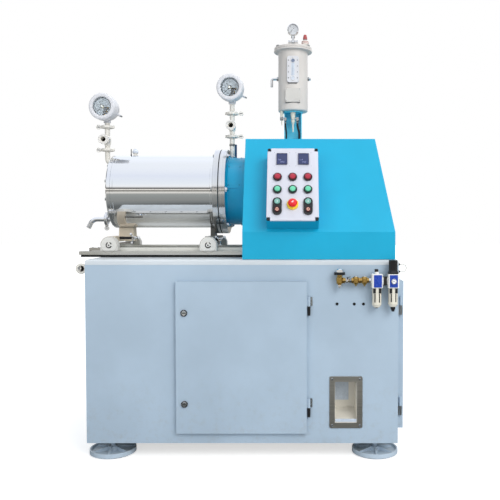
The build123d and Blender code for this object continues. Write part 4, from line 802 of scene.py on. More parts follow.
def buildWorld():
    # White for the camera and through glass, soft grey-blue light on the object. Mirrors see a
    # studio that changes with the ray's height: a bright line over a dark one at the horizon, a
    # pale blue-white ceiling, brighter behind the machine, and two dark flags out to the sides.
    world = bpy.data.worlds.new("studio")
    scene.world = world
    world.use_nodes = True
    tree = world.node_tree
    tree.nodes.clear()
    add, link = tree.nodes.new, tree.links.new
    ray = add("ShaderNodeLightPath")
    split = add("ShaderNodeSeparateXYZ")
    link(add("ShaderNodeTexCoord").outputs["Generated"], split.inputs[0])
    stops = ((0.0, (0.30, 0.31, 0.29)), (0.505, (0.30, 0.29, 0.26)), (0.522, (0.30, 0.29, 0.26)),
             (0.529, (1.15, 1.1, 1.02)), (0.541, (1.15, 1.1, 1.02)), (0.549, (0.13, 0.13, 0.125)),
             (0.570, (0.16, 0.16, 0.155)), (0.592, (0.62, 0.62, 0.62)), (0.612, (1.0, 1.01, 1.03)),
             (0.68, (0.92, 0.97, 1.02)), (0.86, (0.86, 0.91, 1.02)), (1.0, (0.97, 1.01, 1.07)))
    studioGlow = ramped(tree, math(tree, "MULTIPLY_ADD", split.outputs["Z"], 0.5, 0.5), stops)
    aside = math(tree, "ABSOLUTE", split.outputs["X"])
    flag = math(tree, "MULTIPLY", spread(tree, aside, 0.74, 0.80), spread(tree, aside, 0.95, 0.90))
    flag = math(tree, "MULTIPLY", flag, spread(tree, math(tree, "ABSOLUTE", split.outputs["Z"]), 0.75, 0.6))
    glow = math(tree, "MULTIPLY", spread(tree, split.outputs["Y"], 0.0, 0.7, 1.0, 1.15),
                math(tree, "MULTIPLY_ADD", flag, -studio["flagDepth"], 1.0))
    mirror, light, seen = (add("ShaderNodeBackground") for _ in range(3))
    seen.inputs["Color"].default_value = (1.0, 1.0, 1.0, 1.0)
    link(studioGlow, mirror.inputs["Color"])
    link(glow, mirror.inputs["Strength"])
    light.inputs["Color"].default_value = (0.96, 0.98, 1.0, 1.0)
    link(spread(tree, split.outputs["X"], -0.9, 0.2, 0.2 * studio["skyGlow"], 1.25 * studio["skyGlow"]),
         light.inputs["Strength"])
    hidden = mixedShader(tree, ray.outputs["Is Glossy Ray"], light.outputs[0], mirror.outputs[0])
    direct = math(tree, "MAXIMUM", ray.outputs["Is Camera Ray"], ray.outputs["Is Transmission Ray"])
    link(mixedShader(tree, direct, hidden, seen.outputs[0]), add("ShaderNodeOutputWorld").inputs[0])


def buildFloor():
    # The camera sees a pale floor that keeps the shadow and goes to white with distance from the machine;
    # mirrors see a hall floor, dark nearby and cream far off
    reach = studio["floorReach"]
    mesh = bpy.data.meshes.new("floor")
    mesh.from_pydata([(-reach, -reach, 0), (reach, -reach, 0), (reach, reach, 0), (-reach, reach, 0)], [],
                     [(0, 1, 2, 3)])
    material = bpy.data.materials.new("floor")
    material.use_nodes = True
    tree = material.node_tree
    tree.nodes.clear()
    add, link = tree.nodes.new, tree.links.new
    ray, diffuse = add("ShaderNodeLightPath"), add("ShaderNodeBsdfDiffuse")
    glow, mirror = add("ShaderNodeEmission"), add("ShaderNodeEmission")
    coords = objectCoords(tree)
    away = add("ShaderNodeVectorMath")
    away.operation = "LENGTH"
    link(coords, away.inputs[0])
    grain = noise(tree, coords, 1.4, 3.0)
    link(colourMix(tree, grain, (0.66, 0.67, 0.68), (0.69, 0.70, 0.71)), diffuse.inputs[0])
    stops = ((0.0, (0.08, 0.09, 0.09)), (0.10, (0.12, 0.13, 0.13)), (0.125, (0.22, 0.235, 0.235)),
             (0.16, (0.28, 0.29, 0.28)), (0.27, (0.31, 0.33, 0.32)), (0.55, (0.40, 0.41, 0.39)),
             (0.66, (0.80, 0.78, 0.73)), (1.0, (0.80, 0.78, 0.73)))
    hall = ramped(tree, math(tree, "DIVIDE", away.outputs["Value"], 15.0), stops)
    link(colourMix(tree, math(tree, "MULTIPLY", grain, 0.08), hall, (0.5, 0.5, 0.5)), mirror.inputs[0])
    link(math(tree, "MULTIPLY", ray.outputs["Is Camera Ray"],
              spread(tree, away.outputs["Value"], 1.2, 4.5, studio["floorGlow"], 1.0)),
              glow.inputs["Strength"])
    both = add("ShaderNodeAddShader")
    link(diffuse.outputs[0], both.inputs[0])
    link(glow.outputs[0], both.inputs[1])
    link(mixedShader(tree, ray.outputs["Is Glossy Ray"], both.outputs[0], mirror.outputs[0]),
         add("ShaderNodeOutputMaterial").inputs[0])
    mesh.materials.append(material)
    floor = bpy.data.objects.new("floor", mesh)
    scene.collection.objects.link(floor)


buildCamera()
buildWorld()
buildFloor()
for name, lamp in studio["lamps"].items():
    softLamp(name, *lamp)
scene.view_settings.view_transform = "Standard"
print("studio ready")


# Fasteners and fittings, in their own places: +Z is outwards

def domeNut(r, finish="chrome", washer=True):
    # Acorn nut: a hexagon that runs into a ball, on a thin washer
    a = np.linspace(0, pi / 2, 7)
    ball = np.column_stack([0.86 * r * np.cos(a), 0.62 * r + 0.86 * r * np.sin(a)])
    forms = turned(np.concatenate([[(0, 0), (0.86 * r, 0)], ball]), finish, 24)
    forms += slab(hexagon(1.08 * r), 0.12 * r, 0.72 * r, finish, 0.08 * r)
    if washer:
        forms += lathed([(0.3 * r, 0), (1.45 * r, 0), (1.45 * r, 0.16 * r), (0.3 * r, 0.16 * r)], 0.05 * r,
                        finish, 28, 2, True)
    return forms


def hexBolt(r, tall, finish="zinc"):
    # Hexagon head with a turned-down crown, on a washer
    forms = slab(hexagon(r), 0.15 * r, tall, finish, 0.1 * r)
    forms += turned([(0, tall - 0.2), (0.72 * r, tall - 0.2), (0.7 * r, tall + 0.25), (0, tall + 0.3)],
                    finish, 24)
    return forms + lathed([(0.3 * r, 0), (1.3 * r, 0), (1.3 * r, 0.18 * r), (0.3 * r, 0.18 * r)], 0.05 * r,
                          finish, 28, 2, True)


def socketScrew(r, tall, finish="zinc"):
    # Cap head with a sunk hexagon; its floor is black, painted shade in the socket
    rim, well = 0.12 * r, 0.5 * r
    a = np.arange(24) * 2 * pi / 24
    outer = polar(r, a)
    fold = np.cos((a + pi / 6) % (pi / 3) - pi / 6)
    inner = polar(well, a) * (0.9 / fold)[:, None]
    forms = frameSlab(outer, inner, 0.0, tall, finish, rim)
    return forms + slab(circle(0.62 * r, 18), 0.0, 0.45 * tall, "black", 0.05 * r)


def countersunk(r, finish="chrome"):
    # Flat screw head with a cross cut: a low dome and two black bars, painted shade in the cut
    forms = turned([(0, -0.2), (r, -0.2), (r, 0.25 * r), (0.8 * r, 0.42 * r), (0, 0.5 * r)], finish, 28)
    for long, wide in ((0.62, 0.13), (0.13, 0.62)):
        forms += slab(rect(-long * r, long * r, -wide * r, wide * r), 0.3 * r, 0.52 * r, "black", 0.02 * r)
    return forms


def clampSet(wing, finish="satinSteel", r=31.0, wide=13.0, bore=12.5):
    # Sanitary clamp round a pipe along Z: two ferrule lips, a two-part wedge ring with a hinge,
    # a swing bolt and a wing nut on the wing side
    lips = lathed([(bore + 0.05, -6.4), (bore + 3, -6.4), (24.8, -3.2), (25.25, -2.6), (25.25, -0.4),
                   (bore + 0.05, -0.4)], 0.7, finish, 40, 2, True)
    lips += lathed([(bore + 0.05, 6.4), (bore + 0.05, 0.4), (25.25, 0.4), (25.25, 2.6), (24.8, 3.2),
                    (bore + 3, 6.4)], 0.7, finish, 40, 2, True)
    lips += turned([(24.0, -0.5), (24.9, -0.5), (24.9, 0.5), (24.0, 0.5)], "gasketRubber", 40, ring=True)
    half = wide / 2
    band = rounded([(25.9, -2.2), (25.0, -5.4), (27.5, -half), (r - 1, -half), (r, -half + 2),
                    (r, half - 2), (r - 1, half), (27.5, half), (25.0, 5.4), (25.9, 2.2)], 0.6, 2)
    forms = lips + turned(band, finish, 56, ring=True)
    lug = rect(r - 4, r + 5, -8.5, -1.3, 2.0, 3)
    for way in (1, -1):
        forms += slab(lug * (1, way), 0.3 - half, half - 0.3, finish, 1.0)
    hinge = slab(rect(-r - 4.5, -r + 3, -6, 6, 3.0, 3), 1.5 - half, half - 1.5, finish, 1.0)
    hinge += placed(slab(circle(2.6, 16), 0.2 - half, half - 0.2, "blackPlastic", 0.3), -r - 1.5, 0, 0)
    bolt = placed(slab(circle(2.6, 16), 0, 12, "zinc", 0.4), r + 1, 0, 0, "right")
    # The nut is an eye with a web across it, turned to face the operator
    eye = frameSlab(circle(11.5, 36), circle(7.0, 36), -2.4, 2.4, finish, 0.9)
    eye += slab(rect(-8.0, 8.0, -1.6, 1.6, 0.8, 2), -1.6, 1.6, "blackPlastic", 0.4)
    eye += slab(circle(3.6, 20), -3.0, 3.0, "zinc", 0.5)
    nut = placed(eye, r + 14.0, 0, 0, "front")
    return placed(forms + hinge + bolt + nut, spin=wing)


def pipeRun(path, r, finish="polished", sides=28, across=(0, 1, 0)):
    return swept(path, circle(r, sides), finish, across)


def ferruleEnd(r, bore, deep=30.0, thick=6.4, finish="satinSteel"):
    # An open clamp end: lip with its groove, wall, and a black disc down the bore, painted shade
    forms = lathed([(r, 0.0), (r, -3.0), (bore + 5, -thick), (bore + 1.6, -thick), (bore + 1.6, -deep),
                    (bore, -deep), (bore, 0.0), (bore + 5.5, 0.0), (bore + 6, -1.1), (bore + 7.5, -1.1),
                    (bore + 8, 0.0)], 0.5, finish, 44, 2, True)
    return forms + turned([(0, -deep * 0.8), (bore + 0.4, -deep * 0.8), (bore + 0.4, -deep * 0.8 + 1),
                           (0, -deep * 0.8 + 1)], "black", 28)


# Grinding chamber

chamber = {
    "y": 430.0, "z": 1210.0, "jacketR": 182.0, "coverX": (-673.0, -651.0), "flangeX": (-160.0, -133.3),
    "flangeR": 210.0, "gasketX": (-133.3, -130.0), "housingX": (-130.0, -98.0), "boltCircle": 194.0,
    "bolts": 6, "bleedX": -571.0, "pinX": -592.0, "stemZ": 1355.0, "spoutZ": 1071.0,
}


def aroundAxis(forms, radius, count, phase=0.5, aim="right", x=0.0):
    # Copies of forms on a circle about the chamber's axis
    copies = []
    for a in (np.arange(count) + phase) * 2 * pi / count:
        copies += placed(forms, x, chamber["y"] + radius * cos(a), chamber["z"] + radius * sin(a), aim)
    return copies


def alongAxis(profile, finish, sides=128):
    # A closed (radius, x) ring turned about the chamber's axis
    return placed(turned(profile, finish, sides, ring=True), 0, chamber["y"], chamber["z"], "right")


def buildJacket():
    r, x0, (f0, f1) = chamber["jacketR"], chamber["coverX"][1], chamber["flangeX"]
    x1 = f0
    shell = rounded([(r - 4, x0), (r, x0), (r, x0 + 11), (r - 0.9, x0 + 12.2), (r - 0.9, x1 - 14),
                     (r, x1 - 13), (r, x1 + 0.5), (r - 4, x1 + 0.5)], 0.7, 2)
    flange = rounded([(143.0, f0), (chamber["flangeR"], f0), (chamber["flangeR"], f1), (143.0, f1)], 1.6, 3)
    forms = alongAxis(shell, "polished", 160) + alongAxis(flange, "turnedSteel", 128)
    fillet = rounded([(r - 2, x1 - 3.5), (r + 3.5, x1 + 0.4), (r - 2, x1 + 0.4)], 0.6, 2)
    forms += alongAxis(fillet, "turnedSteel", 128)
    forms += aroundAxis(socketScrew(8.5, 7.0), chamber["boltCircle"], chamber["bolts"], 0.0, "left", f0)
    # Bleed valve on top: steel hexagon, pale grey cap, and the thin black pin of its key beside it
    top = chamber["z"] + r
    stub = lathed([(0, -6), (9, -6), (9, 9), (0, 9)], (0, 0, 1, 0), "satinSteel", 28, 2)
    stub += slab(hexagon(12), 8.5, 12.0, "satinSteel", 1.0)
    stub += lathed([(0, 11.5), (14.0, 11.5), (14.8, 20), (7.0, 33.0), (0, 34)], (0, 1, 2, 3, 0),
                   "sightPale", 32, 3)
    forms += placed(stub, chamber["bleedX"], chamber["y"], top)
    pin = lathed([(0, -1.5), (3.6, -1.5), (3.6, 4), (2.0, 6), (2.0, 32), (0, 33)], (0, 0, 1, 1, 1, 0),
                 "blackPlastic", 20, 2)
    forms += placed(pin, chamber["pinX"], chamber["y"], top)
    return makePiece("chamberJacket", "carriage", forms, ("chamber_jacket",))


def buildEndCover():
    r, (x0, x1) = chamber["jacketR"], chamber["coverX"]
    disc = rounded([(0, x0 + 3), (60, x0 + 3), (66, x0), (148, x0), (150, x0 + 1.5), (156, x0 + 1.5),
                    (158, x0), (r - 4, x0), (r, x0 + 5), (r, x1 - 1.2), (r - 2.5, x1), (0, x1)],
                    (0, 3, 2, 0.5, 0.5, 0.5, 0.5, 3, 3, 0.8, 0.8, 0), 3)
    forms = placed(turned(disc, "polished", 160), 0, chamber["y"], chamber["z"], "right")
    forms += aroundAxis(socketScrew(7.5, 5.5), 167.0, 12, 0.5, "left", x0)
    hub = rounded([(0, 0), (46, 0), (46, 3.2), (40, 4), (18, 4), (16, 6), (0, 6)], (0, 1, 1, 1, 1, 1, 0), 2)
    forms += placed(turned(hub, "turnedSteel", 64), x0 + 2.8, chamber["y"], chamber["z"], "left")
    for z, wide in ((chamber["stemZ"], 12.6), (chamber["spoutZ"],
                                               13.1)):   # weld collars round the two pipes
        bead = rounded([(wide, 1.2), (wide + 6.5, 0.2), (wide + 3.5, 3.2), (wide, 5.5)], 1.2, 3)
        forms += placed(turned(bead, "turnedSteel", 48, ring=True), x0, chamber["y"], z, "left")
    screen = frameSlab(circle(42, 60), circle(39, 60), x1 - 0.5, x1 + 150, "rotorSteel", 0.5)
    forms += placed(screen, 0, chamber["y"], chamber["z"], "right")
    return makePiece("endCover", "carriage", forms, ("end_cover",))


def buildHousingFlange():
    (x0, x1), r = chamber["housingX"], chamber["flangeR"]
    ring = rounded([(62.4, x0), (r, x0), (r, x1), (62.4, x1)], 1.8, 3)
    forms = alongAxis(ring, "turnedSteel", 144)
    makePiece("housingFlange", "root", forms, ("housing_flange",))
    nuts = aroundAxis(domeNut(11.0), chamber["boltCircle"], chamber["bolts"], 0.0, "right", x1)
    shank = placed(turned([(0, 0), (5.9, 0), (5.9, 62), (0, 62)], "zinc", 20), 0, 0, -60)
    nuts += aroundAxis(shank, chamber["boltCircle"], chamber["bolts"], 0.0, "right", x1)
    makePiece("flangeNuts", "root", nuts, ("flange_bolts",))


def buildGasket():
    # The black joint ring stands a little proud of the two flanges' rims
    (x0, x1), r = chamber["gasketX"], chamber["flangeR"]
    ring = rounded([(150, x0 + 0.1), (r - 0.4, x0 + 0.1), (r + 0.2, x0 + 1.2), (r + 0.2, x1 - 1.2),
                    (r - 0.4, x1 - 0.3), (150, x1 - 0.3)], 0.3, 2)
    return makePiece("chamberGasket", "carriage", alongAxis(ring, "gasketRubber", 144), slot="belt_rubber")


def bentBar(x0, x1, low, high, radius, thick, finish, edge=1.2):
    # A bar bent round the chamber's axis from angle low to high: a rounded section carried along the arc
    a = np.radians(np.linspace(low, high, max(int((high - low) / 2.5), 8)))
    middle = radius + thick / 2
    path = np.column_stack([0 * a + (x0 + x1) / 2, chamber["y"] - middle * np.cos(a),
                            chamber["z"] + middle * np.sin(a)])
    section = rect(-thick / 2, thick / 2, -(x1 - x0) / 2, (x1 - x0) / 2, edge, 3)
    return swept(path, section, finish, (1, 0, 0))


neck = {"r": 166.0, "rimR": 170.0, "rimX": (-22.0, 2.1), "coverX": (-92.0, -25.0), "coverFrom": 3.0,
        "coverTo": 82.0,
        "screw": 4.2}


def buildNeck():
    # The neck's rim and the bent inspection cover with its screws
    (r0, r1), (c0, c1) = neck["rimX"], neck["coverX"]
    # Cover, screws and weld take the lighter neck enamel: painted light
    cover = bentBar(c0, c1, neck["coverFrom"], neck["coverTo"], neck["r"], 4.0, "neckLitPaint", 1.6)
    for angle in (8.0, 42.0, 77.0):
        for x in (c0 + 8, c1 - 8):
            a = radians(angle)
            out = np.array([0, -cos(a), sin(a)])
            side = np.array([1.0, 0, 0])
            aim = np.column_stack([side, np.cross(out, side), out])
            spot = np.array([x, chamber["y"], chamber["z"]]) + out * (neck["r"] + 3.9)
            cover += placed(countersunk(neck["screw"], "neckLitPaint"), *spot, aim=aim)
    makePiece("inspectionCover", "root", cover, ("inspection_cover",))
    rim = rounded([(164.0, r0), (neck["rimR"], r0), (neck["rimR"], r1), (164.0, r1)], 1.6, 3)
    forms = alongAxis(rim, "hoodPaint", 144)
    weld = rounded([(163.0, -98.4), (173.0, -98.0), (164.0, -90.0)], 1.5, 3)
    forms += alongAxis(weld, "neckLitPaint", 128)
    makePiece("neckRim", "root", forms)


buildJacket()
buildEndCover()
buildHousingFlange()
buildGasket()
buildNeck()
print("chamber built")


# Cabinet

cabinet = {
    "half": 693.0, "top": 890.0, "doorX": (-290.0, 287.0), "doorZ": (119.0, 793.0), "doorFace": -19.0,
    "lockX": -253.0, "lockZ": (251.0, 655.0), "lockR": 15.0, "hingeX": 297.0, "hingeY": -10.0,
    "hingeZ": (191.0, 643.0), "hingeHalf": 41.0, "pin": 6.0, "winX": (388.0, 535.0),
    "winZ": (139.0, 371.0), "border": 24.0, "winDeep": 110.0, "winSlope": 40.0,
    "ventX": (421.0, 497.0, 538.0), "ventZ": 693.0,
}


def buildLock(node, z):
    # Dark ring with a turned bright face, a screwdriver slot, and the cam behind the door
    x, r = cabinet["lockX"], cabinet["lockR"]
    ring = rounded([(10.9, 0.0), (r, 0.0), (r, 4.6), (r - 1.6, 6.6), (10.9, 6.6)], 0.9, 3)
    forms = turned(ring, "blackGloss", 48, ring=True)
    face = lathed([(0, 0), (10.8, 0), (10.8, 6.2), (9.6, 6.8), (0, 6.4)], (0, 0, 0.6, 0.6, 0), "chrome",
                  40, 3)
    # The screwdriver slot is a black bar: painted shade in the cut
    slot = slab(rect(-8.2, 8.2, -1.3, 1.3, 0.5, 2), 6.0, 6.9, "black", 0.05)
    marks = []
    for a in (0, 90, 180, 270):
        marks += placed(slab(rect(12.2, 14.0, -0.5, 0.5), 6.2, 6.8, "dialWhite", 0.05), spin=a)
    forms = placed(forms + face + slot + marks, x, cabinet["doorFace"] - 0.3, z, "front")
    shaft = slab(circle(7.9, 24), -19.0, 7.9, "zinc", 0.6)
    forms += placed(shaft, x, cabinet["doorFace"] + 19.0, z, "back")
    forms += block(x - 19, x + 2, 4.0, 8.0, z - 7, z + 7, "zinc", 0.8)
    makePiece(node + "Face", node, forms, (node,), slot="lock_chrome")


def buildHinges():
    # Lift-off hinges: a screwed leaf and knuckle on the cabinet, a black-sleeved knuckle on the door
    half, r = cabinet["hingeHalf"], cabinet["pin"]
    for z in cabinet["hingeZ"]:
        leaf = block(300.4, 312.4, -3.4, -0.2, z + half + 1.4, z + 2 * half - 0.4, "zinc", 0.6, 1.5)
        knuckle = lathed([(0, 0.8), (r - 0.1, 0.8), (r - 0.1, half - 0.8), (0, half - 0.8)], (0, 1, 1, 0),
                         "zinc", 28, 3)
        forms = leaf + placed(knuckle, cabinet["hingeX"], cabinet["hingeY"], z + half)
        for up in (12.0, 29.0):
            forms += placed(countersunk(3.0), 306.6, -3.3, z + half + up, "front")
        makePiece(f"hingeLeaf{int(z)}", "root", forms, slot="hinge_steel")
        sleeve = lathed([(0, 0.6), (r + 0.5, 0.6), (r + 0.5, half - 1.2), (0, half - 1.2)], (0, 1, 1, 0),
                        "blackPlastic", 28, 3)
        makePiece(f"hingeSleeve{int(z)}", "front_door",
                  placed(sleeve, cabinet["hingeX"], cabinet["hingeY"], z), slot="hinge_steel")


def buildWindow():
    # Screwed steel frame round a painted recess: back wall with a lighter band, sloped floor with a lip
    (x0, x1), (z0, z1), b = cabinet["winX"], cabinet["winZ"], cabinet["border"]
    outer, inner = rect(x0, x1, z0, z1, 8.0, 6), rect(x0 + b, x1 - b, z0 + b, z1 - b, 0.6, 6)
    forms = placed(frameSlab(outer, inner, -0.5, 3.9, "brushed", 0.7), 0, 0, 0, "front")
    for x in (x0 + b / 2, x1 - b / 2):
        for z in (z0 + b / 2, z1 - b / 2):
            forms += placed(turned([(0, 0), (6.2, 0), (6.2, 0.7), (5.7, 1.1), (0, 1.1)], "zinc", 32), x,
                            -3.9, z, "front")
            forms += placed(countersunk(4.4, "chrome"), x, -4.6, z, "front")
    left, right, low, high, deep = x0 + b, x1 - b, z0 + b, z1 - b, cabinet["winDeep"]
    skin = 1.2
    wall = slab(rect(low, high, -1.0, deep, 0.0), 0, skin, "recessPaint", 0.1)
    side = np.array([(0, 0, 1), (0, 1, 0), (1, 0, 0)], float)   # local X up, local Y back
    forms += placed(wall, left, 0, 0, aim=side) + placed(wall, right - skin, 0, 0, aim=side)
    forms += block(left, right, deep - 1.4, deep - 0.2, low, high, "recessPaint", 0.1)
    forms += block(left, right, -1.0, deep, high - skin, high, "recessPaint", 0.1)
    floor = [(-0.5, low + 0.2), (deep, low + cabinet["winSlope"]),
             (deep, low + cabinet["winSlope"] + skin), (-0.5, low + 0.2 + skin)]
    forms += placed(slab(floor, left, right, "recessPaint", 0.1),
                    aim=np.array([(0, 0, 1), (1, 0, 0), (0, 1, 0)], float))
    forms += block(left + 6, right - 30, deep - 4.0, deep - 1.2, low + 74, high - 12, "windowBand", 1.0, 4)
    forms += block(left + 2, right - 2, 2.0, 4.2, low + 1.5, low + 16, "windowBand", 0.6)
    makePiece("windowFrame", "root", forms, ("window_frame",), slot="brushed_stainless")


def buildCabinet():
    # The top plate takes the lighter deck enamel: painted highlight on its front edge
    for node, finish, width, steps in (
            ("cabinet_top_plate", "deckLitPaint", 1.6, 3), ("cabinet_front_panel", "cabinetPaint", 0.8, 2),
            ("cabinet_side_panels", "cabinetPaint", 0.8, 2), ("front_door", "cabinetPaint", 2.4, 4),
            ("side_door", "cabinetPaint", 2.4, 4), ("levelling_feet", "footPaint", 1.8, 3),
            ("foot_pads", "padRubber", 0.8, 2)):
        softened(node, finish, width, steps)
    for node, z in zip(("lock_lower", "lock_upper"), cabinet["lockZ"]):
        buildLock(node, z)
    buildHinges()
    buildWindow()
    vents = []
    for x in cabinet["ventX"]:
        lip = lathed([(3.4, -2.5), (6.6, 0.1), (6.6, 1.4), (3.4, 1.4)], 0.5, "blackPlastic", 32, 2, True)
        vents += placed(lip, x, -0.1, cabinet["ventZ"], "front")
        # Black disc inside the gland: painted shade in the hole
        vents += placed(slab(circle(3.9, 24), -2.6, -1.6, "black", 0.05), x, -0.1, cabinet["ventZ"],
                        "front")
    makePiece("cableGlands", "root", vents, slot="black_plastic")
    # Painted shade: a dark frame behind the front door's edges, seen as the shaded gap round it
    (x0, x1), (z0, z1) = cabinet["doorX"], cabinet["doorZ"]
    seal = frameSlab(rect(x0 + 2, x1 - 2, z0 + 2, z1 - 2, 1.0), rect(x0 + 9, x1 - 9, z0 + 9, z1 - 9, 1.0),
                     0.05, 0.85, "gasketRubber", 0.2)
    makePiece("doorGapShade", "root", placed(seal, 0, 0, 0, "front"), slot="belt_rubber")


buildCabinet()
print("cabinet built")


# Hood and control box

panel = {
    "origin": (225.0, 85.07, 1187.0), "lean": 25.0, "wide": 227.0, "high": 360.0, "face": 88.3,
    "notch": 16.0, "displayU": (-48.1, 48.1), "displayV": 122.5, "displaySize": (48.0, 56.0, 7.0),
    "lampU": (-66.97, 0.0, 66.97), "redV": 30.5, "greenV": -31.5, "bezel": 19.5, "dome": 16.4,
    "stationU": (-66.97, 66.97), "stationV": -113.5, "buttonV": {"start": 21.0, "stop": -18.0},
    "stopV": -104.5,
}
leanOut = np.array([0.0, -cos(radians(panel["lean"])), sin(radians(panel["lean"]))])
panelAim = np.column_stack([(1.0, 0.0, 0.0), (0.0, leanOut[2], -leanOut[1]), leanOut])


def onPanel(forms, u=0.0, v=0.0, up=panel["face"], spin=0.0):
    # From the panel's own places (u across, v up it, height off the hood) to the machine's
    spot = np.array(panel["origin"]) + panelAim @ np.array([u, v, up])
    return placed(forms, *spot, aim=panelAim, spin=spin)


# Strokes of a numeral in a cell 1 wide and 2 high, one letter to a stroke
strokes = {"a": (0, 2, 1, 2), "b": (1, 1, 1, 2), "c": (1, 0, 1, 1), "d": (0, 0, 1, 0), "e": (0, 0, 0, 1),
           "f": (0, 1, 0, 2), "g": (0, 1, 1, 1)}
numerals = {"0": "abcdef", "1": "bc", "2": "abged", "3": "abgcd", "4": "fgbc", "5": "afgcd", "6": "afgedc",
            "7": "abc", "8": "abcdefg", "9": "abcdfg", "-": "g"}


def digits(text, x, y, high, low, top, finish):
    # Plain stroke numerals, centred on x, from low to top in height
    cell, thick, forms = 0.42 * high, 0.1 * high, []
    start = x - (len(text) * cell * 1.6 - cell * 0.6) / 2
    for n, char in enumerate(text):
        for key in numerals[char]:
            u0, v0, u1, v1 = strokes[key]
            left, down = start + n * cell * 1.6 + u0 * cell, y - high / 2 + v0 * high / 2
            wide, tall = (u1 - u0) * cell, (v1 - v0) * high / 2
            forms += slab(rect(left - thick / 2, left + wide + thick / 2, down - thick / 2,
                               down + tall + thick / 2), low, top, finish, 0.02)
    return forms


def displayFace(top, bottom):
    # Navy case with a sunk window of the same colour, two rows of pale figures, and pilot dots
    w, h, t = panel["displaySize"]
    forms = frameSlab(rect(-w / 2, w / 2, -h / 2, h / 2, 2.0),
                      rect(-w / 2 + 3, w / 2 - 3, -h / 2 + 3, h / 2 - 3, 1.2), 0.1, t, "screenCase", 0.7)
    forms += slab(rect(-w / 2 + 2, w / 2 - 2, -h / 2 + 2, h / 2 - 2), 0.2, t - 1.2, "screenBlue", 0.2)
    forms += digits(top, -10.0, -5.0, 5.0, t - 1.3, t - 0.9, "digitPale")
    forms += digits(bottom, 2.5, -16.5, 6.5, t - 1.3, t - 0.9, "digitPale")
    for u, v in ((-1, -1), (-1, 1), (1, -1), (1, 1)):
        forms += placed(slab(circle(1.1, 12), -0.1, 0.3, "dialInk", 0.05), u * 34.0, v * 34.0, 0)
    return forms


def lampFace(colour):
    # Tall black bezel, a rim darker than the lens as painted shade round the dome's foot, and a domed lens
    r, d = panel["bezel"], panel["dome"]
    ring = rounded([(d, 0.1), (r, 0.1), (r, 8.6), (r - 2.4, 10.4), (d, 10.6)], 0.7, 3)
    forms = turned(ring, "blackGloss", 56, ring=True)
    rim = rounded([(d - 4.0, 0.2), (d + 0.2, 0.2), (d + 0.2, 11.4), (d - 2.0, 13.0), (d - 4.0, 13.2)], 0.6,
                  3)
    forms += turned(rim, colour + "Ring", 48, ring=True)
    a = np.linspace(0, pi / 2, 9)
    dome = np.column_stack([(d - 3.8) * np.cos(a) ** 0.6, 12.6 + 3.4 * np.sin(a)])
    forms += turned(np.concatenate([[(0, 0.2), (d - 3.8, 0.2)], dome[:-1], [(0, 16.0)]]), colour + "Lens",
                    48)
    return forms


def boltHead():
    forms = lathed([(0, 0), (7.4, 0), (7.4, 4.4), (6.0, 5.4), (0, 5.4)], (0, 0.2, 1.0, 0.8, 0),
                   "blackPlastic", 28, 2)
    # Black sunk hexagon: painted shade in the socket
    return forms + slab(hexagon(3.4), 5.2, 5.6, "black", 0.03)


def buildStations():
    # Stadium plates with a raised rim round their two buttons, and the yellow stop collar
    forms = []
    for u in panel["stationU"]:
        outer = rect(-20, 20, -41, 41, 19.9, 10)
        plate = frameSlab(outer, inset(outer, 2.4), 0.1, 9.0, "blackPlastic", 0.8)
        plate += slab(inset(outer, 2.0), 0.2, 7.6, "blackPlastic", 0.3)
        for v in panel["buttonV"].values():
            plate += placed(lathed([(13.9, 7.0), (17.0, 7.0), (16.6, 9.0), (13.9, 9.0)], 0.4, "blackGloss",
                                   48, 2, True), 0, v, 0)
        forms += onPanel(plate, u, panel["stationV"])
    makePiece("stationPlates", "root", forms, slot="station_plastic")
    collar = lathed([(12.35, 0.1), (25, 0.1), (25, 9.8), (22, 12.7), (12.35, 12.7)], (0, 0.3, 1.5, 1, 0),
                    "stopYellow", 64, 3, True)
    makePiece("stopCollar", "root", onPanel(collar, 0, panel["stopV"]), slot="station_plastic")


def buildButtons():
    for side, u in zip(("left", "right"), panel["stationU"]):
        for kind, cap, ink in (("start", "greenCap", "dialWhite"), ("stop", "redCap", "markOrange")):
            r, low, top = 12.6 if kind == "start" else 11.0, 5.0, 14.0
            forms = lathed([(0, low), (r, low), (r, top - 0.2), (r - 1.8, top), (8.5, top - 0.7),
                            (0, top - 1.0)], (0, 0.2, 1.0, 1.0, 2.0, 0), cap, 48, 3)
            if kind == "start":
                forms += slab(rect(-0.9, 0.9, -4.6, 4.6, 0.6, 2), top - 1.3, top - 0.6, ink, 0.1)
            else:
                forms += frameSlab(circle(6.4, 32, 1.15), circle(3.4, 32, 1.2), top - 1.3, top - 0.5, ink,
                                   0.15)
            node = f"{kind}_button_{side}"
            spot = panel["stationV"] + panel["buttonV"][kind]
            makePiece(node + "Cap", node, onPanel(forms, u, spot), (node,), slot=f"{cap[:-3]}_plastic")
    r = 20.0
    head = rounded([(0, 6.2), (11.9, 6.2), (11.9, 18.2), (r - 0.6, 18.2), (r, 19.5), (r, 22.6),
                    (r - 3, 27.6), (10, 31.2), (0, 31.8)], (0, 0.5, 0.4, 0.4, 1, 2, 5, 8, 0), 4)
    forms = turned(head, "stopRed", 72)
    for n, low in enumerate((-3.4, 0.8)):
        forms += slab(rect(-5.5 + 3 * n, 3.0 + 3 * n, low, low + 2.4, 0.8, 2), 30.0, 32.2, "dialWhite", 0.1)
    makePiece("stopHead", "estop_button", onPanel(forms, 0, panel["stopV"]), ("estop_button",),
              slot="red_plastic")


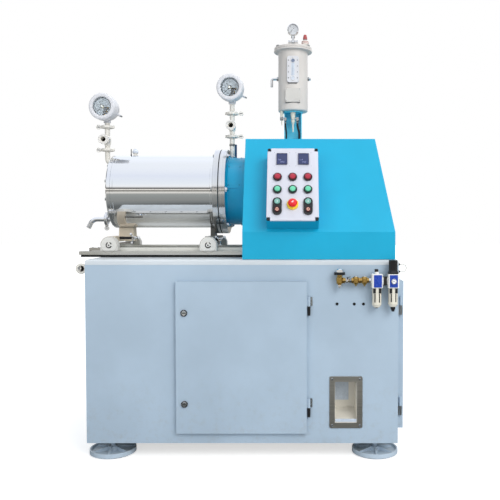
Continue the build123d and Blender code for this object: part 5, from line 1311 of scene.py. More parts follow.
def buildHood():
    softened("hood_shell", "hoodPaint", 2.0, 4)
    softened("control_box", "boxPaint", 1.6, 3)
    softened("control_lid", "lidPaint", 1.0, 3)
    # The column takes the lighter enamel: painted light
    softened("pot_column", "columnLitPaint", 3.0, 4)
    forms = []
    w, h, n = panel["wide"] / 2, panel["high"] / 2, panel["notch"] / 2
    for u in (n - w, w - n):
        for v in (n - h, h - n):
            forms += onPanel(boltHead(), u, v, 83.3)
    makePiece("lidBolts", "root", forms, slot="black_plastic")
    gasket = frameSlab(rect(-w + 17, w - 17, -h + 1.2, h - 1.2, 1.0),
                       rect(-w + 20, w - 20, -h + 4, h - 4, 1.0), 79.9, 80.6, "gasketRubber", 0.1)
    makePiece("lidGasket", "root", onPanel(gasket, up=0.0), slot="belt_rubber")
    screens = [onPanel(displayFace(*rows), u, panel["displayV"]) for u,
               rows in zip(panel["displayU"], (("0426", "0450"), ("0318", "0360")))]
    makePiece("displayFaces", "root", sum(screens, []), ("panel_displays",), slot="black_plastic")
    lamps = []
    for u in panel["lampU"]:
        lamps += onPanel(lampFace("red"), u, panel["redV"]) + onPanel(lampFace("green"), u, panel["greenV"])
    makePiece("pilotLamps", "root", lamps, ("indicator_lamps",), slot="lamp_plastic")


buildHood()
buildStations()
buildButtons()
print("hood and control box built")


# Sanitary stems, contact gauges and spout

stems = {
    "left": {"body": "carriage", "x": -711.0, "clamp": 1420.0, "tee": 1465.0, "top": 1535.0,
             "gauge": 1626.0, "wing": 180.0},
    "right": {"body": "root", "x": -82.0, "clamp": 1487.0, "tee": 1534.0, "top": 1602.0, "gauge": 1720.0,
              "wing": 0.0},
    "y": 430.0, "pipe": 12.5, "branch": 78.0, "lip": 25.25, "bore": 14.5,
}
gauge = {"turn": -4.0, "r": 66.0, "half": 55.0, "lead": 25.0, "backR": 54.0, "glassR": 44.9, "faceZ": 40.0,
         "needle": 37.0, "needleZ": (43.0, 44.2)}
turnCos, turnSin = cos(radians(gauge["turn"])), sin(radians(gauge["turn"]))
glandCos, glandSin = cos(radians(28.0)), sin(radians(28.0))
gaugeAim = np.array([(turnCos, -turnSin, 0), (turnSin, turnCos, 0), (0, 0, 1)]) @ aims["front"]


def stemForms(side):
    # Upright pipe with a swollen tee, its open branch facing the operator, and a clamp at each end
    x, y, low, tee, high = side["x"], stems["y"], side["clamp"], side["tee"], side["top"]
    r = stems["pipe"]
    forms = pipeRun([(x, y, low + 1), (x, y, high - 1)], r, "satinSteel", across=(0, 1, 0), sides=40)
    swell = rounded([(r - 1, -25), (r + 0.6, -24), (17.4, -12), (17.4, 12), (r + 0.6, 24), (r - 1, 25)],
                    (0, 2, 9, 9, 2, 0), 5)
    forms += placed(turned(swell, "satinSteel", 56, ring=True), x, y, tee)
    branch = rounded([(12.0, 5), (16.0, 5), (16.0, stems["branch"] - 2), (12.0, stems["branch"] - 2)], 0.3,
                     2)
    forms += placed(turned(branch, "satinSteel", 48, ring=True), x, y, tee, "front")
    collar = rounded([(15.5, 15.5), (21.0, 15.5), (16.6, 21.0), (15.5, 21.0)], (0, 1.5, 2, 0), 3)
    forms += placed(turned(collar, "turnedSteel", 48, ring=True), x, y, tee, "front")
    forms += placed(ferruleEnd(stems["lip"], stems["bore"], 58.0), x, y - stems["branch"], tee, "front")
    seat = rounded([(stems["bore"] + 4.4, -0.3), (stems["lip"] - 3.6, -0.3), (stems["lip"] - 3.6, 0.0),
                    (stems["bore"] + 4.4, 0.0)], 0.05, 1)
    forms += placed(turned(seat, "dialWhite", 48, ring=True), x, y - stems["branch"], tee, "front")
    for z in (low, high):
        forms += placed(clampSet(side["wing"]), x, y, z)
    return forms


def buildStems():
    left, right, y, r = stems["left"], stems["right"], stems["y"], stems["pipe"]
    bend = roundedLine([(-672.8, y, chamber["stemZ"]), (left["x"], y, chamber["stemZ"]),
                        (left["x"], y, left["clamp"] - 1)], 24.0, 10)
    makePiece("inletStem", "carriage", stemForms(left) + pipeRun(bend, r, "satinSteel", sides=40),
              ("inlet_stem",))
    x, base = right["x"], chamber["z"] + neck["r"]
    foot = lathed([(0, 1.0), (15.4, 1.0), (15.4, 10.5), (13.2, 13.8), (0, 13.8)], (0, 0.8, 1.5, 1, 0),
                  "chrome", 48, 3)
    forms = placed(foot, x, y, base) + stemForms(right)
    forms += placed(slab(hexagon(17.2), 1.2, 9.5, "chrome", 0.8), x, y, base, spin=15)
    forms += pipeRun([(x, y, base + 12), (x, y, right["clamp"] - 1)], r, "satinSteel", sides=40)
    makePiece("outletStem", "root", forms, ("outlet_stem",))
    # Blue flat strap beside the outlet pipe, standing on the neck, and the band that ties it to the pipe
    post = block(-73.0, -61.0, y + 18.5, y + 24.5, base - 6, base + 74, "strapPaint", 1.0)
    post += block(-94.5, -67.0, y + 18.5, y + 24.5, base + 62, base + 74, "strapPaint", 1.0)
    band = rounded([(12.6, 0), (14.6, 0), (14.6, 11.0), (12.6, 11.0)], 0.4, 2)
    post += placed(turned(band, "zinc", 44, ring=True), x, y, base + 62.5)
    post += placed(hexBolt(4.2, 3.2), x, y + 24.4, base + 68, "back")
    post += block(x - 4, x + 4, y + 13.0, y + 19.0, base + 63, base + 73, "zinc", 0.5)
    makePiece("stemBrace", "root", post, slot="hood_paint")


def dialForms(r, face, marks, numbers, size, tint="dialWhite"):
    # White face, ticks over 270 degrees from lower left to lower right, and figures inside them
    forms = slab(circle(r, 64), face, face + 0.6, tint, 0.1)
    for n in range(marks * 5 + 1):
        long = 0.13 if n % 5 == 0 else 0.07
        tick = slab(rect(-0.011 * r, 0.011 * r, (0.93 - long) * r, 0.93 * r), face + 0.5, face + 0.85,
                    "dialInk", 0.02)
        forms += placed(tick, spin=135.0 - 270.0 * n / (marks * 5))
    for n, text in enumerate(numbers):
        a = radians(225.0 - 270.0 * n / (len(numbers) - 1))
        forms += digits(text, 0.62 * r * cos(a), 0.62 * r * sin(a), size, face + 0.5, face + 0.85,
                        "dialInk")
    arc = np.radians(np.linspace(-45, 225, 60))
    ring = np.concatenate([polar(0.94 * r, arc), polar(0.92 * r, arc)[::-1]])
    return forms + slab(ring, face + 0.5, face + 0.8, "dialInk", 0.02)


def pointer(long, tail, wide, low, high, hub):
    # A tapered hand turned to the zero mark, its counterweight and its turned hub
    outline = [(-wide, -tail), (wide, -tail), (0.42 * wide, 0), (0.16 * wide, long), (-0.16 * wide, long),
               (-0.42 * wide, 0)]
    forms = slab(rounded(outline, 0.12 * wide, 2), low, high, "needle", 0.2)
    forms += placed(slab(circle(wide * 1.3, 20), low, high, "needle", 0.15), 0, -tail * 0.75, 0)
    forms += lathed([(0, low - 1.0), (hub, low - 1.0), (hub, high + 0.8), (0, high + 1.6)],
                    (0, 0.3, 0.8, 0), "turnedSteel", 28, 3)
    return placed(forms, spin=135.0)


def onGauge(forms, side):
    # From the case's middle to its place ahead of the stem
    return placed(placed(forms, 0, 0, gauge["lead"]), side["x"], stems["y"], side["gauge"], gaugeAim)


def buildGauge(name, side):
    x, y, z, half, r, face = side["x"], stems["y"], side["gauge"], gauge["half"], gauge["r"], gauge["faceZ"]
    shell = rounded([(0, -half), (gauge["backR"], -half), (r - 3, -12), (r, 4), (r, half - 6),
                     (r - 5, half - 0.6), (57, half - 1.2), (57, face), (0, face)],
                     (0, 9, 12, 8, 5, 3, 0.8, 1, 0), 5)
    forms = turned(shell, "gaugeEnamel", 96)
    bezel = rounded([(45.1, half - 12), (59.0, half - 12), (60.5, half - 2.4), (57.0, half),
                     (48.6, half - 0.4), (45.1, half - 4.2)], (0.4, 0.6, 1.5, 1.5, 1.5, 0.8), 3)
    forms += turned(bezel, "gaugeEnamel", 96, ring=True)
    forms += dialForms(44.6, face + 0.2, 8, ("0", "4", "8", "12", "16"), 6.4, "dialTint")
    # Blue-grey ring round the dial: painted shade under the bezel
    rim = [(41.8, face + 0.7), (44.9, face + 0.7), (44.9, face + 4.5), (44.3, face + 4.5),
           (41.8, face + 0.95)]
    forms += turned(rim, "gaugeRim", 80, ring=True)
    forms += slab(circle(1.4, 16), face, half - 7.5, "zinc", 0.2)
    # The contact works: dark blocks right of and below the middle, a pale strip and a brass dot on each,
    # and a cream hub
    for low, high, left, right in ((-17.0, -4.0, 7.0, 33.0), (-33.0, -20.0, 4.0, 27.0),
                                   (-42.0, -35.0, -2.0, 16.0)):
        forms += slab(rect(left, right, low, high, 3.0, 3), face + 0.7, face + 2.4, "black", 0.5)
        forms += slab(rect(left + 4, right - 7, low + 3.2, low + 5.4, 0.8, 2), face + 2.3, face + 2.9,
                      "lidPaint", 0.2)
        forms += placed(slab(circle(1.8, 16), face + 2.3, face + 2.95, "brass", 0.3), right - 3.6,
                        high - 4.0, 0)
    for spin in (-100.0, 38.0):
        forms += placed(slab(rect(-0.7, 0.7, 3.0, 28.0, 0.4, 1), face + 1.0, face + 1.7, "dialInk", 0.15),
                        spin=spin)
    forms += slab(circle(8.5, 28), face + 0.7, face + 1.8, "hubCream", 0.4)
    # Side gland for the contact cable
    gland = slab(circle(5.6, 28), 46, 72, "gaugeEnamel",
                 0.6) + slab(hexagon(6.6), 66, 71, "gaugeEnamel", 0.6)
    gland += slab(circle(4.0, 20), 71.5, 81.0, "zinc", 0.8)
    forms += placed(gland, 0, 0, 15.0 - half, np.column_stack([(0, 0, 1), (glandSin, glandCos, 0),
                                                               (glandCos, -glandSin, 0)]))
    for a in (70, 110, 190, 230, 310, 350):
        forms += placed(placed(countersunk(2.0, "gaugeEnamel"), 52.5, 0, half - 1.0), spin=a)
    forms = onGauge(forms, side)
    tall = z - side["top"] - 52.0
    stub = lathed([(0, 0), (12.4, 0), (12.4, tall), (0, tall)], (0, 0.4, 0.4, 0), "satinSteel", 44, 2)
    nut = slab(hexagon(18.0), tall - 19.5, tall - 2.5, "gaugeEnamel", 1.2)
    forms += placed(stub + nut, x, y, side["top"] + 0.4)
    makePiece(name + "Gauge", side["body"], forms, (name + "_gauge_case",), slot="gauge_enamel")
    glass = lathed([(0, half - 4.9), (gauge["glassR"], half - 4.9), (gauge["glassR"], half - 3.2),
                    (0, half - 3.2)], (0, 0.2, 0.2, 0), "glass", 64, 2)
    makePiece(name + "GaugeGlass", side["body"], onGauge(glass, side))
    hand = pointer(gauge["needle"], 9.0, 2.4, *gauge["needleZ"], 4.8)
    makePiece(name + "GaugeHand", name + "_gauge_needle", onGauge(hand, side), (name + "_gauge_needle",),
              slot="needle_metal")


def buildSpout():
    # Goose-neck outlet: pipe, its clamp, and an open tip with a black disc in the bore, painted shade
    y, z = stems["y"], chamber["spoutZ"]
    corners = np.array([(-672.8, y, z), (-790.0, y, z), (-812.0, y, z - 43.0)])
    fall = (corners[2] - corners[1]) / np.linalg.norm(corners[2] - corners[1])
    tip = corners[2] - fall * 1.2
    forms = pipeRun(roundedLine([corners[0], corners[1], tip], 40.0, 14), 11.5, sides=40)
    aim = np.column_stack([(0, 1, 0), np.cross(fall, (0, 1, 0)), fall])
    lip = lathed([(10.0, -4), (12.0, -4), (12.0, 0), (10.0, 0)], 0.5, "turnedSteel", 40, 2, True)
    forms += placed(lip, *corners[2], aim=aim)
    forms += placed(slab(circle(10.2, 32), -1.6, -1.1, "black", 0.02), *corners[2], aim=aim)
    forms += placed(clampSet(-90.0, "chrome", bore=13.0), -719.0, y, z, "right")
    makePiece("productSpout", "carriage", forms, ("product_spout",))


buildStems()
for name in ("left", "right"):
    buildGauge(name, stems[name])
buildSpout()
print("stems, gauges and spout built")


# Seal-fluid pot

pot = {
    "x": 224.5, "y": 350.0, "z": (1595.0, 1884.0), "r": 72.0, "lidR": 93.0, "lidZ": (1892.0, 1905.0),
    "sight": (57.0, 126.0, 1724.0), "plate": (72.0, 66.0, 1632.0), "sideZ": 1756.0, "gaugeZ": 1994.0,
    "gaugeR": 28.0, "valveX": 283.5, "stubX": (170.0, 224.5), "stubR": (5.0, 7.5),
    "stubLow": (1527.0, 1494.0), "hoseX": (188.0, 246.0), "hoseR": (4.0, 5.0), "hoseY": 320.0,
    "branchZ": 1559.0, "hoseTop": 1545.0, "entryX": (192.0, 255.0), "hoodTop": 1446.0,
}


def buildPot():
    x, y, (z0, z1), r, lid = pot["x"], pot["y"], pot["z"], pot["r"], pot["lidR"]
    wall = rounded([(0, z0), (r, z0), (r, z1 - 0.4), (lid, z1 - 0.4), (lid, z1 + 7.8), (r - 3, z1 + 7.8),
                    (r - 3, z0 + 3), (0, z0 + 3)], (0, 7, 3, 1.6, 1.0, 0.4, 2, 0), 5)
    forms = turned(wall, "potEnamel", 112)
    bead = rounded([(r - 0.5, z1 - 7), (r + 4.5, z1 - 0.3), (r - 0.5, z1 - 0.3)], 0.8, 2)
    forms += turned(bead, "potEnamel", 96, ring=True)
    makePiece("potShell", "root", placed(forms, x, y, 0), ("pot_body",))
    low, high = pot["lidZ"]
    top = rounded([(0, low + 0.9), (lid - 1.2, low + 0.9), (lid - 1.2, high - 3.2), (lid - 4, high - 0.3),
                   (32, high - 0.3), (30, high), (0, high)], (0, 0.6, 2.5, 2.5, 0.5, 0.5, 0), 4)
    forms = turned(top, "potEnamel", 112)
    forms += lathed([(r, low), (lid - 2.2, low), (lid - 2.2, low + 1.1), (r, low + 1.1)], 0.2,
                    "gasketRubber", 96, 1, True)
    for a in (np.arange(6) + 0.5) * pi / 3:
        forms += placed(hexBolt(7.8, 5.6), (lid - 10) * cos(a), (lid - 10) * sin(a), high - 0.3)
    makePiece("potLid", "root", placed(forms, x, y, 0), ("pot_lid",))


def sightGlass():
    # Rounded block on the pot's front: round windows above and below, a pale level slot between, ten screws
    w, h, low = pot["sight"]
    forms = slab(rect(-w / 2, w / 2, -h / 2, h / 2, 12.0, 8), 0, 13.2, "gaugeEnamel", 1.8, 4)
    # Dark block showing below the plate: painted shadow under the sight glass
    forms += slab(rect(3 - w / 2, w / 2 - 6, -h / 2 - 4.5, 12 - h / 2, 12.0, 8), 0, 10.5, "plateShade", 1.0)
    for v, tint in ((40.0, "sightBlue"), (-42.0, "sightPale")):
        forms += placed(lathed([(8.6, 12.6), (11.6, 12.6), (11.2, 14.8), (9.2, 15.2), (8.6, 14.0)], 0.5,
                               "gaugeEnamel", 48, 3, True), 0, v, 0)
        forms += placed(slab(circle(8.8, 36), 13.0, 13.8, tint, 0.1), 0, v, 0)
    forms += slab(rect(-7.0, 7.0, -31, 29, 3.0, 4), 12.8, 13.5, "windowBand", 0.1)
    forms += placed(pipeRun([(0, -30, 0), (0, 28, 0)], 2.4, "sightPale", 20, across=(0, 0, 1)), 0, 0, 13.6)
    for u in (-21.5, 21.5):
        for v in (-42.0, -14.0, 14.0, 42.0):
            forms += placed(countersunk(2.6, "zinc"), u, v, 13.1)
    for v in (-55.0, 55.0):
        forms += placed(countersunk(2.0, "satinSteel"), 0, v, 13.1)
    return placed(forms, pot["x"], 285.2, low + h / 2, "front")


def buildPotFittings():
    x, y, r, top = pot["x"], pot["y"], pot["r"], pot["lidZ"][1]
    gaugeR, gaugeZ = pot["gaugeR"], pot["gaugeZ"]
    forms = lathed([(0, top - 0.5), (12.5, top - 0.5), (12.5, top + 3), (0, top + 3)], (0, 0.4, 0.8, 0),
                   "chrome", 40, 2)
    forms += slab(hexagon(11.0), top + 2.5, top + 12.5, "chrome", 0.8)
    forms += turned([(0, top + 12), (6.2, top + 12), (6.2, gaugeZ - gaugeR + 2), (0, gaugeZ - gaugeR + 2)],
                    "chrome", 32)
    forms += placed(slab(circle(7.8, 32), -20, 20, "chrome", 1.2), 0, 0, top + 30, "right")
    forms += lathed([(0, top + 19), (10.4, top + 23), (10.4, top + 37), (0, top + 41)], (0, 3, 3, 0),
                    "chrome", 40, 4)
    for side in ("left", "right"):
        forms += placed(slab(hexagon(9.0), 18.0, 24.0, "chrome", 0.7), 0, 0, top + 30, side)
    forms += slab(hexagon(9.2), gaugeZ - gaugeR - 12, gaugeZ - gaugeR - 3, "chrome", 0.7)
    case = rounded([(0, -14), (24, -14), (gaugeR, -10), (gaugeR, 13), (26.4, 16), (24.2, 16), (24.0, 8),
                    (0, 8)], (0, 3, 3, 2, 1.2, 0.6, 0.4, 0), 4)
    small = turned(case, "polished", 80) + dialForms(23.6, 8.1, 6, ("0", "2", "4", "6"), 4.2)
    small += slab(circle(1.15, 14), 8.0, 12.6, "zinc", 0.15)
    forms += placed(small, 0, 0, gaugeZ, "front")
    valve = slab(hexagon(12.5), top - 0.3, top + 12.5, "satinSteel", 0.8)
    valve += lathed([(0, top + 12), (11.0, top + 12), (17.0, top + 18), (17.0, top + 34), (9.5, top + 38),
                     (0, top + 38)], (0, 0.4, 2, 2, 1, 0), "satinSteel", 40, 3)
    for low in (top + 21.0, top + 28.0):
        valve += lathed([(16.6, low), (17.7, low + 0.6), (17.7, low + 2.4), (16.6, low + 3)], 0.3,
                        "capRed", 40, 2, True)
    valve += slab(circle(9.4, 32), top + 37.5, top + 42.5, "zinc", 0.5)
    valve += lathed([(0, top + 42), (10.5, top + 42), (10.5, top + 50), (6.5, top + 65.5), (0, top + 66)],
                    (0, 0.6, 3, 4, 0), "capRed", 40, 4)
    forms += placed(valve, pot["valveX"] - x, 0, 0)
    forms = placed(forms, x, y, 0) + sightGlass()
    w, h, low = pot["plate"]
    plate = slab(rect(-w / 2, w / 2, 0, h, 3.0, 4), 0, 13.6, "platePaint", 0.7, 3)
    # Dark band along the plate's bottom edge: painted shadow of its underside
    plate += slab(rect(-w / 2, w / 2 - 2, -3.2, 4, 1.0, 2), 0, 13.0, "plateShade", 0.5)
    for u in (5 - w / 2, w / 2 - 5):
        for v in (5.0, h - 5.0):
            plate += placed(lathed([(0, 0), (2.2, 0), (1.6, 1.1), (0, 1.3)], (0, 0.3, 0.6, 0), "zinc", 20,
                                   3), u, v, 13.5)
    forms += placed(plate, x, 288.6, low, "front")
    # Side ports: a long elbow with a hose barb on the left, a short plug on the right
    z = pot["sideZ"]
    forms += pipeRun(roundedLine([(x - r + 2, y, z), (x - 104.0, y, z), (x - 104.0, y, z - 39)], 9.0, 8),
                     6.4, "chrome", 28)
    forms += placed(slab(hexagon(10.5), 0, 9.0, "chrome", 0.8), x - r + 1, y, z, "left")
    for n in range(3):
        barb = rounded([(4.0, -39.5 + 6 * n), (6.0, -39.0 + 6 * n), (7.0, -35.5 + 6 * n),
                        (4.0, -35.5 + 6 * n)], 0.4, 2)
        forms += placed(turned(barb, "chrome", 32, ring=True), x - 104.0, y, z)
    forms += placed(slab(hexagon(10.0), 0, 8.0, "chrome",
                         0.8) + slab(circle(6.6, 28), 7.5, 15.6, "chrome", 1.2), x + r - 1, y, z, "right")
    for n in range(2):
        forms += stubForms(n)
    makePiece("potFittings", "root", forms, ("pot_fittings",), slot="polished_stainless")
    glass = lathed([(0, 14.1), (23.8, 14.1), (23.8, 15.0), (0, 15.0)], (0, 0.2, 0.2, 0), "glass", 48, 2)
    makePiece("potGaugeGlass", "root", placed(glass, x, y, gaugeZ, "front"))
    hand = pointer(18.0, 6.0, 1.7, 10.0, 10.8, 2.9)
    makePiece("potGaugeHand", "pot_needle", placed(hand, x, y, gaugeZ, "front"), ("pot_needle",),
              slot="needle_metal")


def stubForms(n):
    # A stub under the pot, its side branch, and a ferrule nut above the hose
    x, r, low, hoseX, hoseR = (pot[key][n] for key in ("stubX", "stubR", "stubLow", "hoseX", "hoseR"))
    y, branch, end = pot["hoseY"], pot["branchZ"], pot["hoseTop"]
    top = pot["z"][0] if n == 0 else pot["z"][0] - 6.0
    reach = top - low
    horn = rounded([(0, low), (0.45 * r, low), (0.6 * r, low + 0.4 * reach), (1.2 * r, low + 0.5 * reach),
                    (1.7 * r, top + 0.5), (0, top + 0.5)], (0, 0.8, 4, 4, 0.2, 0), 3)
    forms = placed(turned(horn, "bowlPlastic", 36), x, y, 0)
    forms += placed(slab(hexagon(r + 3.5), branch - 9, branch + 9, "chrome", 0.8), x, y, 0)
    forms += pipeRun([(x, y, branch), (hoseX, y, branch)], hoseR - 1.1, "chrome", 24)
    shell = rounded([(0, end + 0.5), (hoseR + 2.4, end + 0.5), (hoseR + 2.4, branch + hoseR + 1.8),
                     (0, branch + hoseR + 1.8)], (0, 0.5, 2.5, 0), 4)
    forms += placed(turned(shell, "chrome", 36), hoseX, y, 0)
    forms += placed(slab(hexagon(hoseR + 3.6), end + 1.0, end + 8.0, "chrome", 0.7), hoseX, y, 0)
    clip = rounded([(hoseR + 0.1, -9), (hoseR + 1.1, -9), (hoseR + 1.1, -3), (hoseR + 0.1, -3)], 0.3, 2)
    forms += placed(turned(clip, "zinc", 36, ring=True), hoseX, y, end)
    grommet = rounded([(hoseR + 0.2, -3), (hoseR + 4, 0.2), (hoseR + 4, 3), (hoseR + 0.2, 4.5)], 0.8, 3)
    return forms + placed(turned(grommet, "hoseRubber", 40, ring=True), pot["entryX"][n], y, pot["hoodTop"])


buildPot()
buildPotFittings()
print("seal pot built")


# Rails, carriage and its knobs

carriage = {
    "railY": (210.0, 650.0), "railTop": 919.0, "wheelX": (-640.0, -174.0), "wheelZ": 947.3,
    "faceY": (188.0, 672.0), "base": 920.5, "leverBar": (-621.0, -531.0, 298.0, 310.0, 973.0, 985.0),
    "knob": (-543.0, 276.0, 979.0), "knobTurns": (84.0, -36.0, -156.0), "arm": 24.0,
    "rightKnob": (-127.0, 276.0, 972.0),
}


def ball(radius, finish):
    a = np.linspace(-pi / 2, pi / 2, 13)
    return turned(polar(radius, a), finish, 24)


def lobedKnob(x, y, z, turns):
    # Hub along Y with three arms that end in balls; a set screw shows in the middle
    hub = rounded([(0, 0), (9.0, 0), (9.0, 20.5), (6.5, 23.8), (0, 23.8)], (0, 1.0, 2.0, 1.5, 0), 4)
    forms = placed(turned(hub, "chrome", 40), x, y + 8.0, z, "front")
    forms += placed(slab(circle(3.2, 20), 23.6, 24.1, "black", 0.05), x, y + 8.0, z, "front")
    for turn in turns:
        out = np.array([sin(radians(turn)), 0.0, cos(radians(turn))])
        start = np.array([x, y - 6.5, z])
        forms += pipeRun([start + out * 6, start + out * carriage["arm"]], 3.9, "chrome", 20,
                         across=(0, 1, 0))
        forms += placed(ball(6.4, "knobWhite"), *(start + out * carriage["arm"]))
        forms += placed(lathed([(3.6, -6.4), (5.2, -6.0), (5.2, -4.4), (3.6, -4.4)], 0.3, "blackPlastic",
                               24, 2, True), *(start + out * carriage["arm"]),
                               aim=np.column_stack([(0, 1, 0), np.cross(out, (0, 1, 0)), out]))
    return forms


def buildCarriage():
    softened("guide_rails", "railSteel", 1.2, 3)
    softened("drip_tray", "trayWhite", 0.7)
    softened("roller_covers", "coverPaint", 1.8, 4)
    # Faces past x = -300 take the dark copy: painted shade on the right-hand leg
    softened("carriage_frame", "legPaint", 1.6, 3, second="legShade", beyond=-300.0 + 44.9)
    screws = []
    for y in carriage["railY"]:
        for x in np.arange(-750.0, -20.0, 80.0):
            # A black disc under each screw head: painted shade round it and in its socket
            screws += placed(slab(circle(6.2, 28), 0.0, 0.1, "black", 0.02), x, y, carriage["railTop"])
            screws += placed(frameSlab(circle(4.6, 28), hexagon(2.4)[np.arange(28) * 6 // 28], 0.08, 0.2,
                                       "zinc", 0.1), x, y, carriage["railTop"])
    makePiece("railScrews", "root", screws, slot="rail_steel")
    rings = []
    for x in carriage["wheelX"]:
        for y, aim in zip(carriage["faceY"], ("front", "back")):
            line = lathed([(10.2, 0), (14.6, 0), (14.2, 1.4), (10.6, 1.4)], 0.3, "blackPlastic", 48, 2,
                          True)
            line += slab(rect(-4.0, 4.0, 8.0, 16.0), -0.5, 1.7, "coverPaint", 0.3)
            line += slab(rect(7.0, 16.0, -4.0, 4.0), -0.5, 1.7, "coverPaint", 0.3)
            line += placed(slab(circle(3.4, 24), 0, 1.1, "black", 0.3), 0, 0, 4.9)
            seam = frameSlab(circle(38.2, 64), circle(37.2, 64), -0.1, 0.35, "coverSeam", 0.05)
            rings += placed(line + seam, x, y, carriage["wheelZ"], aim)
    makePiece("coverRings", "carriage", rings, slot="cover_paint")
    wipers = []
    for y in carriage["railY"]:
        wipers += block(-735.6, -680.4, y - 10.6, y + 10.6, carriage["base"] + 0.2,
                        carriage["base"] + 15.6, "brushed", 1.4)
        wipers += block(-736.6, -731.0, y - 10.0, y + 10.0, carriage["railTop"] + 0.3,
                        carriage["base"] + 14, "gasketRubber", 0.6)
        for x in (-722.0, -694.0):
            wipers += placed(socketScrew(4.0, 2.2), x, y, carriage["base"] + 15.4)
    makePiece("railWipers", "carriage", wipers, slot="cover_paint")
    # Painted shadow: a black strip filling the gap under each rail; a dark strip of the same black runs
    # along the tray's front lip
    shadowStrips = []
    for y in carriage["railY"]:
        shadowStrips += block(-775.0, 0.0, y - 11.8, y + 8.0, 891.0, 901.5, "stripBlack", 0.3)
    shadowStrips += block(-690.0, 0.0, 237.8, 240.2, 935.6, 938.6, "stripBlack", 0.4)
    makePiece("railShadowStrips", "root", shadowStrips, slot="belt_rubber")
    x0, x1, y0, y1, z0, z1 = carriage["leverBar"]
    bar = block(x0 - 0.4, x1 + 0.4, y0 - 0.4, y1, z0 - 0.4, z1 + 0.4, "blackPlastic", 1.6)
    x, y, z = carriage["rightKnob"]
    bar += block(-175.0, x + 9, y0 - 0.4, y1 + 0.5, z - 6.4, z + 6.4, "blackPlastic", 1.6)
    bar += placed(slab(circle(5.0, 24), 0, 24, "zinc", 0.4), x, y0 + 1, z, "front")
    makePiece("knobBars", "carriage", bar, slot="frame_steel")
    makePiece("rightKnob", "carriage", lobedKnob(x, y, z, (60.0, 180.0, -60.0)), slot="black_plastic")
    makePiece("clampKnob", "clamp_lever", lobedKnob(*carriage["knob"], carriage["knobTurns"]),
              ("clamp_lever",), slot="black_plastic")


# Air unit, manifold and ports

air = {
    "x": (592.0, 663.0), "y": -34.0, "z": (768.0, 829.0), "half": 24.0, "front": -59.0, "bowlLow": 683.0,
    "knobTop": 889.0, "barY": -30.0, "barZ": 800.0, "valveX": 430.0, "teeX": (501.0, 539.0),
    "knobR": 25.0,
}


